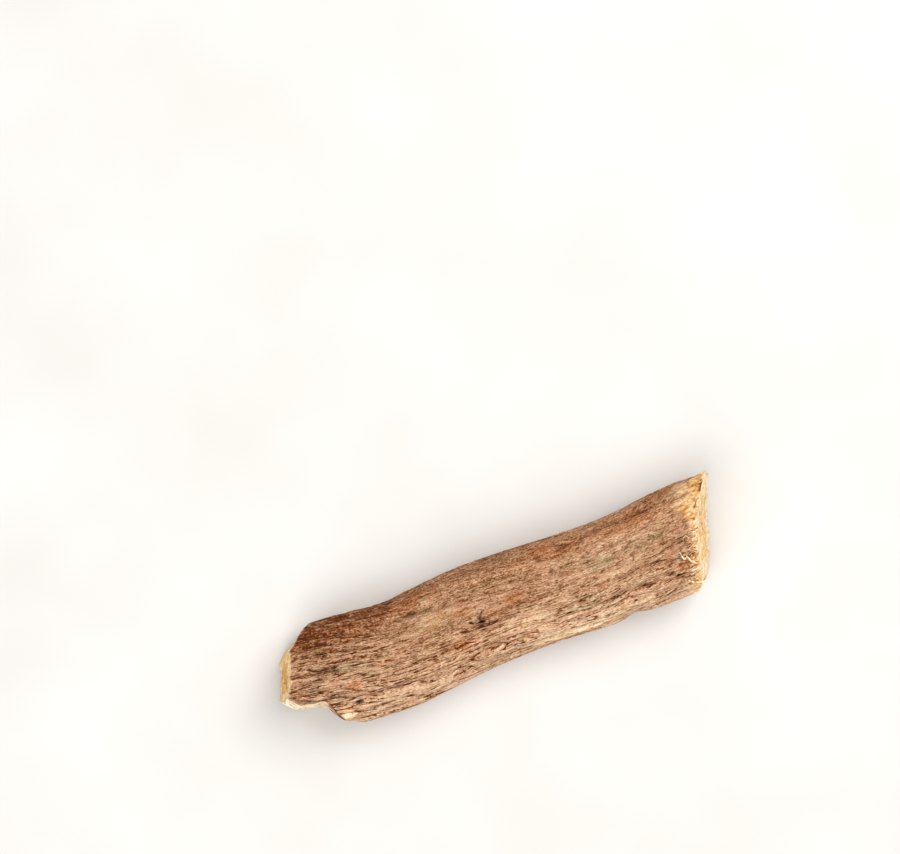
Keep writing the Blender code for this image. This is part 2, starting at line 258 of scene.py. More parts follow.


# A row gives a crack's half width, depth and darkness, which is painted shade, and the places that it runs
# through.
CRACKS = tuple(Crack(*row) for row in (
    # The knot: a dark star with a long arm towards the plain end.
    (0.16, 0.45, 1.7, ((-6.0, 0.1), (-5.2, -0.2), (-4.5, -0.4), (-4.0, -0.5), (-3.5, -0.7))),
    (0.24, 0.7, 1.0, ((-4.3, -0.45), (-3.7, -0.6))),
    (0.12, 0.3, 1.0, ((-4.0, -0.3), (-3.9, 0.4), (-3.6, 0.9), (-3.2, 1.2), (-2.8, 1.0))),
    (0.12, 0.3, 1.0, ((-3.8, -0.4), (-3.2, -0.35), (-2.8, -0.4), (-2.6, -0.8), (-2.9, -1.2), (-3.4, -1.1))),
    (0.11, 0.3, 0.9, ((-5.5, -0.7), (-4.8, -0.8), (-4.1, -1.1), (-3.5, -1.4))),
    (0.1, 0.2, 0.7, ((-2.6, -1.0), (-1.9, -1.2), (-1.2, -1.1))),
    (0.15, 0.2, 0.6, ((-8.0, -1.3), (-7.4, -0.9), (-6.3, -1.2), (-5.2, -1.3))),
    (0.14, 0.2, 0.7, ((-3.0, -1.6), (-2.2, -1.3))),
    (0.1, 0.15, 0.6, ((-1.9, -0.6), (-0.9, -0.5), (0.2, 0.1))),
    # The broken rootlet near the frayed end, and single specks.
    (0.2, 0.35, 0.95, ((21.7, 2.75), (22.4, 2.95), (23.2, 2.85))),
    (0.14, 0.2, 0.55, ((22.2, 1.2), (23.6, 1.9))),
    (0.25, 0.25, 0.85, ((-0.1, 1.4),)),
    (0.12, 0.2, 0.7, ((-0.7, 1.9), (-1.2, 1.3))),
    (0.24, 0.3, 0.85, ((9.9, 0.7),)),
    (0.13, 0.25, 0.85, ((6.1, -3.1), (6.7, -3.25), (7.3, -3.2))),
    (0.13, 0.25, 0.85, ((8.8, -4.1), (9.5, -4.1), (10.1, -3.8))),
    (0.2, 0.2, 0.7, ((2.1, -0.2),)),
    (0.18, 0.2, 0.7, ((2.2, -1.0),)),
    (0.2, 0.25, 0.75, ((1.3, -5.9),)),
    # The plain end's half.
    (0.15, 0.3, 0.9, ((-15.9, 4.75), (-14.8, 5.1), (-13.4, 5.05), (-11.9, 4.85), (-10.4, 4.9))),
    (0.14, 0.25, 0.7, ((-17.9, 4.6), (-17.1, 4.4), (-15.8, 4.2))),
    (0.13, 0.25, 0.8, ((-33.6, 4.3), (-32.0, 3.8), (-30.4, 3.5))),
    (0.16, 0.35, 1.3, ((-31.2, 3.8), (-28.7, 3.4), (-26.4, 2.6), (-24.7, 2.5))),
    (0.13, 0.25, 0.85, ((-32.4, 4.9), (-30.0, 4.5))),
    (0.14, 0.3, 1.1, ((-33.3, 1.8), (-31.6, 1.2), (-28.8, 0.7), (-27.6, 1.2), (-26.9, 1.4))),
    (0.13, 0.25, 0.8, ((-30.6, 0.5), (-29.6, 0.3), (-28.6, 0.0))),
    (0.13, 0.2, 0.7, ((-32.8, 0.8), (-31.0, 0.3))),
    (0.17, 0.25, 0.85, ((-35.2, -0.2), (-34.4, -0.4))),
    (0.2, 0.25, 0.75, ((-32.8, -0.5), (-31.4, -0.5), (-30.4, -0.8))),
    (0.13, 0.25, 0.75, ((-28.2, -1.8), (-27.4, -1.7), (-26.2, -1.3))),
    (0.14, 0.22, 0.7, ((-24.0, -0.9), (-23.3, -1.0), (-22.6, -1.2))),
    (0.14, 0.28, 0.9, ((-24.1, -4.9), (-23.0, -5.2), (-21.7, -5.3))),
    (0.14, 0.28, 0.8, ((-22.7, -6.0), (-21.2, -6.2), (-19.9, -6.4))),
    (0.15, 0.28, 0.7, ((-17.0, -6.9), (-15.4, -7.0), (-13.6, -7.2))),
    (0.12, 0.2, 0.65, ((-34.2, -2.3), (-33.2, -2.5), (-32.2, -2.3))),
    (0.14, 0.28, 0.8, ((-33.0, -3.7), (-31.0, -3.8), (-29.1, -4.8), (-26.4, -5.8))),
    (0.12, 0.2, 0.6, ((-31.0, -2.8), (-29.6, -2.8), (-27.7, -3.2))),
    (0.12, 0.2, 0.7, ((-30.0, -4.0), (-28.9, -4.2))),
    (0.16, 0.3, 0.95, ((-28.0, -6.3), (-27.3, -6.5), (-26.5, -6.6))),
    (0.13, 0.22, 0.7, ((-24.5, -4.2), (-23.6, -4.3))),
    (0.13, 0.2, 0.75, ((-23.0, -2.9), (-22.3, -3.1))),
    (0.14, 0.2, 0.7, ((-33.5, 8.0), (-32.6, 7.6))),
    (0.15, 0.2, 0.6, ((-23.5, 8.2), (-22.6, 8.3))),
    (0.16, 0.22, 0.8, ((-18.6, 7.1), (-17.7, 7.2), (-16.6, 7.3))),
    # The middle.
    (0.13, 0.22, 0.75, ((-16.1, -0.7), (-15.1, -0.6), (-14.2, -0.7))),
    (0.13, 0.22, 0.7, ((-17.7, -3.3), (-16.5, -3.1), (-15.6, -3.3))),
    (0.17, 0.32, 0.8, ((-14.1, -6.6), (-11.8, -6.9), (-10.1, -6.9), (-8.4, -7.2))),
    (0.13, 0.2, 0.7, ((-18.5, -8.7), (-16.8, -8.5))),
    (0.13, 0.25, 0.7, ((-3.3, -5.2), (-2.5, -5.3), (-1.2, -5.9), (0.5, -6.5))),
    (0.24, 0.25, 0.9, ((-2.9, -5.3),)),
    (0.13, 0.2, 0.7, ((6.7, 3.4), (7.4, 3.4), (8.2, 3.7))),
    (0.12, 0.2, 0.7, ((-6.5, 4.2), (-4.8, 3.7))),
    (0.13, 0.2, 0.6, ((-9.0, 0.5), (-8.5, 0.0), (-7.2, -0.3))),
    (0.13, 0.2, 0.6, ((-9.2, 4.4), (-8.6, 4.2))),
    (0.12, 0.2, 0.6, ((1.1, -4.8), (2.1, -5.0))),
    (0.13, 0.2, 0.65, ((14.2, 2.8), (15.4, 2.8), (16.4, 3.0))),
    (0.3, 0.2, 0.6, ((18.3, 0.3),)),
    (0.13, 0.25, 0.7, ((9.5, -5.6), (11.2, -5.8), (12.7, -6.3))),
    (0.15, 0.22, 0.75, ((12.0, 6.9), (13.4, 6.8), (15.0, 7.1))),
    (0.13, 0.22, 0.6, ((15.9, 6.9), (19.4, 7.1), (23.0, 7.5))),
    (0.15, 0.22, 0.7, ((11.1, 6.4), (12.2, 6.5))),
    # The frayed end's half.
    (0.13, 0.25, 0.75, ((14.9, -5.1), (17.3, -5.5), (19.4, -5.4), (21.6, -5.7))),
    (0.13, 0.22, 0.65, ((16.7, -4.7), (19.0, -4.5), (21.3, -4.1))),
    (0.13, 0.25, 0.7, ((20.3, -4.3), (22.2, -4.2), (23.8, -4.3), (25.6, -4.0))),
    (0.14, 0.25, 0.8, ((25.4, -6.9), (27.4, -7.0))),
    (0.13, 0.22, 0.65, ((23.5, -1.1), (25.8, -0.9), (28.0, -1.3))),
    (0.14, 0.25, 0.7, ((23.0, 7.5), (27.5, 7.7), (29.3, 7.9))),
    (0.12, 0.2, 0.55, ((26.6, 0.1), (28.0, 0.5), (29.4, 0.7))),
    (0.13, 0.3, 0.85, ((29.2, 1.0), (30.0, 1.2), (30.6, 1.35), (31.3, 1.5), (32.1, 1.5), (32.6, 1.0),
                       (32.8, 0.2))),
    (0.15, 0.3, 0.8, ((27.5, -2.4), (28.5, -1.8), (29.2, -1.6), (29.7, -1.6), (30.0, -1.8))),
    (0.26, 0.5, 0.9, ((30.3, -1.0), (31.3, -1.25), (32.3, -1.6))),
    (0.13, 0.25, 0.6, ((30.0, -1.8), (30.6, -2.3), (31.0, -2.9))),
    (0.15, 0.4, 0.9, ((25.0, -2.9), (25.7, -3.2), (26.7, -3.2), (27.7, -3.7), (28.3, -4.2), (29.0, -4.2),
                      (29.9, -4.3), (30.5, -5.1), (31.0, -5.8))),
    (0.2, 0.4, 1.0, ((27.7, -3.8), (28.3, -4.25), (29.0, -4.25))),
    (0.13, 0.2, 0.65, ((26.0, -4.9), (26.9, -5.2))),
    (0.36, 0.6, 1.8, ((37.0, 7.5), (37.1, 8.2), (37.5, 8.8), (37.8, 8.9))),
    (0.2, 0.3, 1.2, ((35.2, 9.6), (35.6, 9.5))),
    (0.26, 0.3, 0.7, ((34.9, 5.6), (35.4, 5.4))),
    (0.22, 0.3, 0.7, ((34.9, 4.5), (35.4, 4.3))),
))


@dataclass
class Skin:
    """A grid of surface points, ring by ring, with what is kept for each and where the rings lie."""

    points: Array
    grain_space: Array
    masks: dict[Mask, Array]
    places: Array | None = None


@dataclass
class Places:
    """Where the points of the root's sides lie before any relief.

    The rings' places are a column and the grain is a row. `seen_x` is x with the cuts' lean, as seen from
    straight above, and `top` is 1 on the top of the root and 0 below.
    """

    along: Array
    grain: Array
    angle: Array
    x: Array
    y: Array
    seen_x: Array
    top: Array

    def read(self, wave: Wave) -> Array:
        """Reads noise at every point."""
        return wave.read(self.x, self.grain)


@dataclass
class Marks:
    """What the relief holds at each point: how high it rises, its bare wood, and its lines and scales."""

    rise: Array
    valley: Array
    furrow: Array
    bare: Array
    edge: Array
    line: Array
    # The painted highlight on the lip along one side of each line.
    lip_highlight: Array
    fibre: Array
    flake: Array
    pit: Array
    # How much shade is painted into the cracks.
    dark: Array
    calm: Array


@dataclass(frozen=True)
class CoarseRelief:
    """The bark relief that the root's solid has: swellings, ridges, furrows, the knot and the scars."""

    swelling_wave: Wave = Wave(15.0, BARK_RADIUS, 3.7)
    swelling_height: float = 0.3
    ridge_wave: Wave = Wave(15.0, 2.1, 0.0)
    valley_width: float = 0.2
    valley_depth: float = 0.5
    crown: float = 0.2
    wander_wave: Wave = Wave(9.0, 5.0, 11.3)
    wander: float = 0.35
    mean_strength: float = 0.9
    flank_strength: float = 0.25
    flank_turn: float = 0.3
    patch_wave: Wave = Wave(12.0, 4.0, 23.1)
    patch_mean: float = 0.8
    patch_change: float = 0.6
    twist: float = 0.0057
    twist_change: float = -0.000162
    # Each furrow's start and end, its half width and its depth.
    furrows: tuple[tuple[Plan, Plan, float, float], ...] = (
        ((-31.2, 3.8), (-24.7, 2.5), 0.6, 0.35),
        ((-33.3, 1.7), (-28.2, 0.8), 0.6, 0.35),
        ((-32.6, -3.7), (-26.2, -5.9), 0.6, 0.4),
        ((-22.7, -6.0), (-13.6, -7.2), 0.6, 0.4),
        ((-15.8, 4.8), (-10.9, 4.8), 0.6, 0.35),
        ((-14.1, -6.6), (-8.4, -7.2), 0.6, 0.4),
        ((-3.3, -5.2), (0.5, -6.5), 0.6, 0.35),
        ((9.5, -5.6), (21.6, -5.7), 0.6, 0.4),
        ((16.7, -4.7), (25.6, -4.0), 0.6, 0.4),
        ((12.3, 6.7), (29.3, 7.9), 0.6, 0.3),
        ((23.5, -1.1), (29.9, -1.5), 0.6, 0.35),
        ((25.0, -3.4), (31.4, -5.9), 0.7, 0.5),
        ((29.3, 1.5), (32.6, 0.8), 0.6, 0.35),
    )
    knot: Plan = (-3.9, -0.5)
    collar_radius: float = 3.0
    collar_height: float = 0.4
    pit_radius: float = 0.65
    pit_depth: float = 1.2
    # Each scar's place, its angle in degrees, its radius and its height.
    rootlet_scars: Rows = (
        (21.5, 71.0, 1.4, 0.35),
        (-22.5, 335.0, 1.6, 0.5),
        (13.5, 205.0, 1.5, 0.45),
        (-9.0, 238.0, 1.3, 0.4),
        (28.0, 300.0, 1.7, 0.5),
    )
    dimple_depth: float = 1.3
    dimple_radius: float = 0.45

    def twist_at(self, along: Array) -> Array:
        """Tells how far the grain has turned round the root, in radians."""
        return (self.twist + self.twist_change * along) * along

    def swelling(self, along: Array, grain: Array) -> Array:
        """Gives the slow lumps and hollows of the whole root."""
        return self.swelling_height * self.swelling_wave.read(along, grain)

    def valleys(self, along: Array, grain: Array) -> tuple[Array, Array]:
        """Finds the valleys between the long ridges.

        Args:
            along: Places along the root.
            grain: Places round it.

        Returns:
            How much each point is in a valley, from 0 to 1, and how strong the ridges are there.
        """
        drift = self.wander * self.wander_wave.read(along, grain)
        wave = self.ridge_wave.read(along, grain, drift)
        flank = self.mean_strength - self.flank_strength * np.cos(grain - self.flank_turn)
        fade = self.patch_wave.read(along, grain)
        return bell(wave, self.valley_width), flank * (self.patch_mean + self.patch_change * fade)

    def furrow_depth(self, x: Array, y: Array) -> Array:
        """Measures the deepest single furrow at points of the top.

        Args:
            x: The points' x.
            y: Their y.

        Returns:
            Its depth at every point.
        """
        depths = [depth * bell(near_line(x, y, start, end)[0], half_width)
                  for start, end, half_width, depth in self.furrows]
        return np.maximum.reduce(depths)

    def knot_height(self, x: Array, y: Array) -> Array:
        """Shapes the knot's collar and the pit in its middle.

        Args:
            x: The points' x.
            y: Their y.

        Returns:
            The height of every point.
        """
        distance = np.hypot(x - self.knot[0], y - self.knot[1])
        pit = self.pit_depth * bell(distance, self.pit_radius)
        return self.collar_height * bell(distance, self.collar_radius) - pit

    def scar_height(self, along: Array, angle: Array) -> Array:
        """Gives the low rings with a dimple, where fine rootlets broke off.

        Args:
            along: Places along the root.
            angle: Places round it.

        Returns:
            The height of every point.
        """
        height = np.zeros_like(angle)
        for place, degrees, radius, rise in self.rootlet_scars:
            turn = (angle - math.radians(degrees) + math.pi) % FULL_TURN - math.pi
            distance = np.hypot(along - place, turn * BARK_RADIUS)
            dimple = self.dimple_depth * bell(distance, self.dimple_radius * radius)
            height += rise * (bell(distance, radius) - dimple)
        return height


@dataclass(frozen=True)
class FineRelief:
    """The wrinkles, fibres, flakes and cracks that are too fine for the root's solid.

    Levels are where a wave, or a place on the root, begins and ends to count.
    """

    wrinkles: ThinLines = ThinLines(Wave(8.0, 1.15, 31.9), 0.12, 0.11)
    wrinkle_gate: Wave = Wave(4.0, 2.2, 53.3)
    wrinkle_levels: Levels = (-0.3, 0.25)
    nicks: ThinLines = ThinLines(Wave(2.6, 0.75, 39.1), 0.1, 0.07)
    nick_gate: Wave = Wave(1.6, 0.7, 84.3)
    nick_levels: Levels = (0.1, 0.25)
    drift_wave: Wave = Wave(6.0, 3.0, 17.9)
    drift: float = 0.5
    fibre_wave: Wave = Wave(1.7, 0.42, 47.3)
    fibre_height: float = 0.05
    flake_wave: Wave = Wave(2.6, 1.0, 61.7)
    flake_fringe: float = 0.45
    flake_levels: Levels = (0.0, 0.1)
    flake_height: float = 0.04
    pit_wave: Wave = Wave(0.8, 0.5, 83.9)
    pit_levels: Levels = (0.42, 0.54)
    pit_depth: float = 0.1
    edge_depth: float = 0.3
    scaly_levels: Levels = (-5.0, 2.0)
    least_scaly: float = 0.45
    lower_levels: Levels = (4.0, -4.0)
    least_lined: float = 0.4
    gate_share: float = 0.7
    calm_levels: Levels = (12.0, 24.0)
    calm_loss: float = 0.4
    cracks: tuple[Crack, ...] = CRACKS
    crack_wobble: float = 0.16
    crack_wobble_size: Plan = (1.3, 0.5)
    crack_break_size: float = 0.8
    crack_break_start: float = 5.5
    crack_open: float = 0.8
    crack_open_change: float = 1.5
    crack_open_limits: Levels = (0.3, 1.0)

    def opened(self, at: Places) -> tuple[Array, Array]:
        """Finds the single cracks in the top of the bark.

        Args:
            at: The points.

        Returns:
            The depth of the cracks, and how much shade is painted in them.
        """
        x, y = at.seen_x, at.y
        wobble = self.crack_wobble * cloud(x / self.crack_wobble_size[0], y / self.crack_wobble_size[1])
        broken = cloud(x / self.crack_break_size, y / self.crack_break_size, self.crack_break_start)
        broken = np.clip(self.crack_open + self.crack_open_change * broken, *self.crack_open_limits) * at.top
        depth, dark = np.zeros_like(x), np.zeros_like(x)
        for crack in self.cracks:
            openness = crack.openness(x, y + wobble) * broken
            depth = np.maximum(depth, crack.depth * openness)
            dark = np.maximum(dark, crack.dark * openness)
        return depth, dark


@dataclass(frozen=True)
class BarkTint:
    """Where the bark is paler, redder or greyer, and where it is worn thin.

    Each patch has its x, y, length, width and strength. Gains and losses are of paleness; those that follow
    the relief, and the change across the root, are painted light and shade.
    """

    middle: float = 0.505
    # Paler towards -Y and darker towards +Y: painted light and shade across the root.
    across: float = -0.018
    wave: Wave = Wave(7.0, 2.6, 101.3)
    change: float = 0.07
    # These follow the relief. Crowns, fibres and flakes are paler: partly a painted highlight, partly the
    # bark's own rubbed, paler surface. Lips are a painted highlight. Valleys, lines and furrows are painted
    # shade.
    rise_highlight_and_wear: float = 0.06
    valley_shade: float = 0.04
    line_shade: float = 0.3
    lip_highlight_gain: float = 0.13
    fibre_gain: float = 0.09
    flake_gain: float = 0.05
    furrow_shade: float = 0.1
    calm_gain: float = 0.01
    calm_levels: Levels = (6.0, 0.0)
    pale: Rows = (
        (-30.5, 6.8, 6.0, 3.2, -0.17), (-21.0, 7.2, 5.0, 2.0, -0.16), (-20.0, 2.2, 5.0, 2.2, -0.1),
        (-11.5, 5.6, 4.0, 1.4, 0.1), (-22.0, -6.2, 9.0, 2.2, -0.05), (29.5, 3.0, 4.0, 2.6, -0.1),
        (12.0, -4.4, 5.0, 2.2, 0.05), (2.0, 2.0, 14.0, 4.0, -0.04), (3.0, -2.8, 4.2, 1.0, 0.15),
        (0.0, -5.0, 10.0, 2.0, 0.05), (1.8, 4.2, 1.3, 0.7, 0.15), (-20.2, -6.6, 6.0, 1.2, 0.08),
        (12.0, -7.2, 8.0, 1.2, 0.12), (22.0, -3.2, 5.0, 1.6, 0.06), (-26.0, -0.2, 1.8, 0.8, 0.08),
        (-23.6, -2.4, 1.6, 0.8, 0.1), (22.9, 2.1, 1.0, 0.5, 0.12), (-6.5, -1.2, 2.6, 0.9, -0.1),
        (24.0, 6.0, 12.0, 4.0, 0.06), (-12.0, 2.4, 4.5, 1.8, -0.11), (30.5, -5.2, 2.6, 1.3, -0.1),
        (31.0, -7.4, 1.8, 1.0, 0.22),
    )
    rust: Rows = (
        (-6.4, 2.0, 2.6, 1.2, 0.6), (-8.2, -2.9, 2.4, 1.1, 0.85), (-1.0, 0.1, 1.8, 0.8, 0.55),
        (2.6, 1.4, 1.8, 1.0, 0.85), (-26.9, -3.3, 1.8, 0.7, 0.8), (-30.5, 6.0, 3.6, 1.6, 0.4),
        (-24.0, 5.6, 4.0, 1.8, 0.35), (-16.0, 6.0, 4.0, 1.2, 0.5), (-10.0, 7.0, 5.0, 1.0, 0.5),
        (-32.6, 7.4, 2.2, 0.9, 0.3), (-12.0, 2.4, 3.6, 1.6, 0.35), (12.0, 6.4, 8.0, 1.6, 0.6),
        (25.5, 6.6, 6.0, 1.8, 0.55), (30.5, 9.4, 4.0, 0.9, 0.5), (29.9, -2.9, 1.6, 0.8, 0.85),
        (-20.5, -1.2, 2.0, 0.9, 0.5), (17.5, -1.5, 3.5, 0.9, 0.35),
    )
    ash: Rows = (
        (-26.9, 0.0, 2.2, 0.9, 0.8), (-23.6, -2.4, 1.8, 0.8, 0.8), (-33.2, -1.8, 1.8, 1.0, 0.6),
        (-33.9, 3.0, 1.2, 1.1, 0.6), (-22.6, -0.6, 1.6, 0.8, 0.6), (17.0, 1.8, 3.2, 1.4, 0.7),
        (12.6, 3.6, 2.6, 1.4, 0.6), (24.6, 2.4, 2.4, 1.1, 0.7), (27.9, 3.2, 1.8, 1.0, 0.6),
        (1.8, 4.4, 1.4, 0.8, 0.6), (-13.0, 5.8, 2.4, 0.7, 0.5), (13.0, -3.6, 6.0, 2.2, 0.5),
    )
    thin: Rows = (
        (-11.8, 2.4, 3.8, 1.8, 0.3), (-30.4, -7.3, 0.8, 0.8, 1.0), (35.2, 8.5, 1.9, 0.7, 0.6),
        (31.3, -7.2, 1.0, 1.0, 0.5), (3.5, -3.6, 4.5, 1.3, 0.3), (19.5, -0.4, 1.6, 0.7, 0.4),
        (11.5, -7.4, 8.0, 0.8, 0.35),
    )

    def paleness(self, at: Places, marks: Marks) -> Array:
        """Works out how pale the bark is.

        Args:
            at: The points.
            marks: What the relief holds there.

        Returns:
            Values from 0 to 1, and some beyond.
        """
        pale = self.middle + self.across * at.y + self.change * at.read(self.wave)
        # Painted highlight on raised places and lips, painted shade in valleys, lines and furrows.
        pale = pale + self.rise_highlight_and_wear * marks.rise - self.valley_shade * marks.valley
        pale = pale - self.line_shade * marks.line - self.furrow_shade * marks.furrow
        pale = pale + self.lip_highlight_gain * marks.lip_highlight + self.fibre_gain * marks.fibre
        pale = pale + self.flake_gain * (marks.flake - 0.5)
        pale = pale + self.calm_gain * marks.calm * smooth_step(*self.calm_levels, at.y)
        return pale + patchwork(self.pale, at.x, at.y) * at.top


@dataclass(frozen=True)
class SideLook:
    """How creamy the sides' bare wood is, how much the hairlines' painted shade shows in the bark, and where
    shade is painted into cracks, pits and the hollows along the bark's broken edge.
    """

    cream: float = 0.7
    fibre_gain: float = 0.3
    edge_hollow_shade: float = 0.35
    golden_loss: float = 0.32
    torn_cream_and_highlight: float = 0.42
    thin_loss: float = 0.06
    torn_thin_loss: float = 0.55
    # Where the bare wood at the frayed end is golden: the place, the radius and the strength.
    golden: Rows = ((34.7, 5.2, 1.4, 1.0), (38.0, 8.4, 1.8, 0.8))
    golden_from: float = 31.0
    least_lines: float = 0.1
    lower_lines: float = 0.65
    lower_levels: Levels = (3.0, -4.0)
    calm_loss: float = 0.3
    plain_lines: float = 0.6
    plain_levels: Levels = (-14.0, -28.0)
    edge_shade: float = 0.7
    pit_shade: float = 0.5

    def creaminess(self, at: Places, marks: Marks, torn: Array, thin: Array) -> Array:
        """Works out how pale the wood of the sides is.

        Args:
            at: The points.
            marks: What the relief holds there.
            torn: How much each point is on the torn flank.
            thin: How much the bark is worn thin.

        Returns:
            Values from 0 to 1, and some beyond.
        """
        gold = sum(strength * bell(np.hypot(at.x - x, at.y - y), radius)
                   for x, y, radius, strength in self.golden)
        gold = np.where(at.x > self.golden_from, gold, 0.0)
        # The hollows along the broken bark edge are painted darker: painted shade.
        cream = self.cream + self.fibre_gain * marks.fibre - self.edge_hollow_shade * marks.edge
        # The torn flank's wood is paler: partly its own cream, partly a painted highlight for light its flank
        # does not get.
        cream = cream - self.golden_loss * gold + self.torn_cream_and_highlight * torn
        return cream - self.thin_loss * thin * (1.0 - torn) - self.torn_thin_loss * torn * thin

    def line_strength(self, at: Places, marks: Marks) -> Array:
        """Works out how much hairlines show in the bark, from the points and what the relief holds there."""
        lower = self.lower_lines * smooth_step(*self.lower_levels, at.y) * (1.0 - self.calm_loss * marks.calm)
        return self.least_lines + lower + self.plain_lines * smooth_step(*self.plain_levels, at.x)

    def crack_and_pit_shade(self, marks: Marks) -> Array:
        """Works out how much shade is painted at each point in a crack, a pit or the hollows along the bark's
        broken edge.
        """
        return np.maximum(np.maximum(marks.dark, self.edge_shade * marks.edge), self.pit_shade * marks.pit)


@dataclass(frozen=True)
class RootForm:
    """The root's form: the same outline, cuts and torn flank as its solid's."""

    sides: int = 360
    rings: int = 276
    end_rings: int = 24
    fine_steps: int = 2000
    corner_steps: int = 200
    # Where rings lie closer together: the place, its reach, and how many more rings there are.
    detail_places: Rows = ((-4.0, 3.5, 1.3), (-38.2, 4.0, 0.7), (35.4, 4.0, 1.0))
    end_ring_power: float = 1.4
    slant: float = math.tan(math.radians(20.0))
    plain_end: float = -38.2
    plain_lean: float = 0.22
    frayed_end: float = 35.4
    frayed_lean: float = 0.235
    # Each station's place, its reach to +Y and to -Y, half its height, and how square it is.
    stations: Rows = (
        (-41.0, 8.6, -9.2, 5.9, 3.1),
        (-33.0, 8.4, -9.4, 6.1, 2.9),
        (-27.0, 7.9, -9.5, 6.3, 2.7),
        (-20.5, 7.6, -9.8, 6.5, 2.6),
        (-14.0, 8.3, -9.9, 6.8, 2.5),
        (-7.5, 8.9, -9.3, 7.0, 2.4),
        (-0.5, 8.7, -8.5, 6.9, 2.4),
        (10.0, 8.3, -8.4, 6.7, 2.5),
        (18.0, 8.4, -8.5, 6.7, 2.5),
        (26.0, 9.3, -8.3, 6.8, 2.6),
        (33.0, 9.9, -8.2, 6.9, 2.8),
        (38.0, 9.8, -7.4, 6.9, 3.0),
    )
    corner: Rows = (
        (-40.5, 2.2), (-39.1, 4.2), (-38.7, 5.0), (-37.9, 5.6), (-37.0, 5.9),
        (-36.4, 6.4), (-35.9, 7.1), (-35.2, 7.9), (-33.6, 8.7), (-31.0, 9.5),
    )
    torn: Rows = (
        (-40.0, -0.9), (-38.4, -2.2), (-36.3, -3.9), (-33.8, -4.6),
        (-31.4, -5.0), (-30.0, -6.0), (-28.5, -7.8), (-26.8, -8.6), (-24.0, -9.9),
    )
    frayed_corner: Rows = (
        (32.6, -9.4), (33.6, -8.5), (34.4, -7.9), (35.1, -7.0), (35.8, -5.9), (36.6, -4.2), (38.0, -1.0),
    )
    torn_lean: float = 1.1
    torn_lean_levels: Levels = (-1.0, 6.0)
    torn_upright: Levels = (-32.0, -29.5)
    torn_fibres: float = 0.3
    torn_fibre_size: Plan = (3.0, 0.9)
    worn_depth: float = 0.22
    end_rise: float = 1.2
    half_length: float = 37.0
    worn_patch: float = 3.5
    worn_stretch: float = 2.0
    bark_thickness: float = 0.45
    wedge: tuple[Plan, Plan, Plan] = ((32.3, 7.1), (36.2, 7.9), (35.1, 2.0))
    rim_raggedness: float = 0.35
    rag_wave: Wave = Wave(1.0, 1.6, 5.0)
    ends_apart: float = 40.0
    cut_roughness: float = 0.3
    cut_grain: float = 1.7


@dataclass(frozen=True)
class CutLook:
    """What both cuts show: a dark ring of bark, pale bast, and yellow wood with rays and a cracked middle."""

    bark_ring_raggedness: float = 0.2
    rag_wave: Wave = Wave(1.0, 0.5, 71.0)
    bast_share: float = 0.6
    bast_cream: float = 0.68
    wood_cream: float = 0.5
    cambium_width: float = 0.02
    cambium_dark: float = 0.18
    ray_wave: Wave = Wave(9.0, 0.55, 7.3)
    ray_shift: float = 11.0
    ray_cream: float = 0.2
    ray_height: float = 0.08
    saw_pitch: float = 0.7
    saw_length: float = 14.0
    saw_start: float = 3.0
    saw_height: float = 0.05
    saw_cream: float = 0.15
    pith_radius: float = 0.5
    rim_width: float = 0.12
    pith_depth: float = 0.7
    rough_levels: Levels = (0.0, 1.5)
    nap_levels: Levels = (0.0, 0.8)
    bark_edge: Levels = (0.0, 0.16)
    bast_edge: Levels = (-0.03, 0.03)
    bark_paleness: float = 0.5
    bark_change: float = 0.3
    bark_rust: float = 0.2
    # pith_dark and crack_dark paint shade into the sunk pith and drying cracks.
    pith_dark: float = 0.35
    cracks: int = 7
    crack_length: float = 2.8
    crack_lengths: Levels = (0.4, 1.0)
    crack_half_width: float = 0.12
    crack_bend: float = 0.15
    crack_bends: float = 1.9
    crack_spread: float = 1.5
    crack_taper: float = 1.2
    crack_depth: float = 0.5
    crack_dark: float = 0.5


@dataclass(frozen=True)
class CutEnd:
    """How one cut differs from the other."""

    outward: float
    seed: int
    bark_ring: float
    bark_share: float
    cream_change: float
    rim_cream: float


FRAYED_CUT = CutEnd(1.0, 11, 0.14, 0.12, 0.09, 0.0)
PLAIN_CUT = CutEnd(-1.0, 5, 0.28, 0.35, -0.06, 0.2)


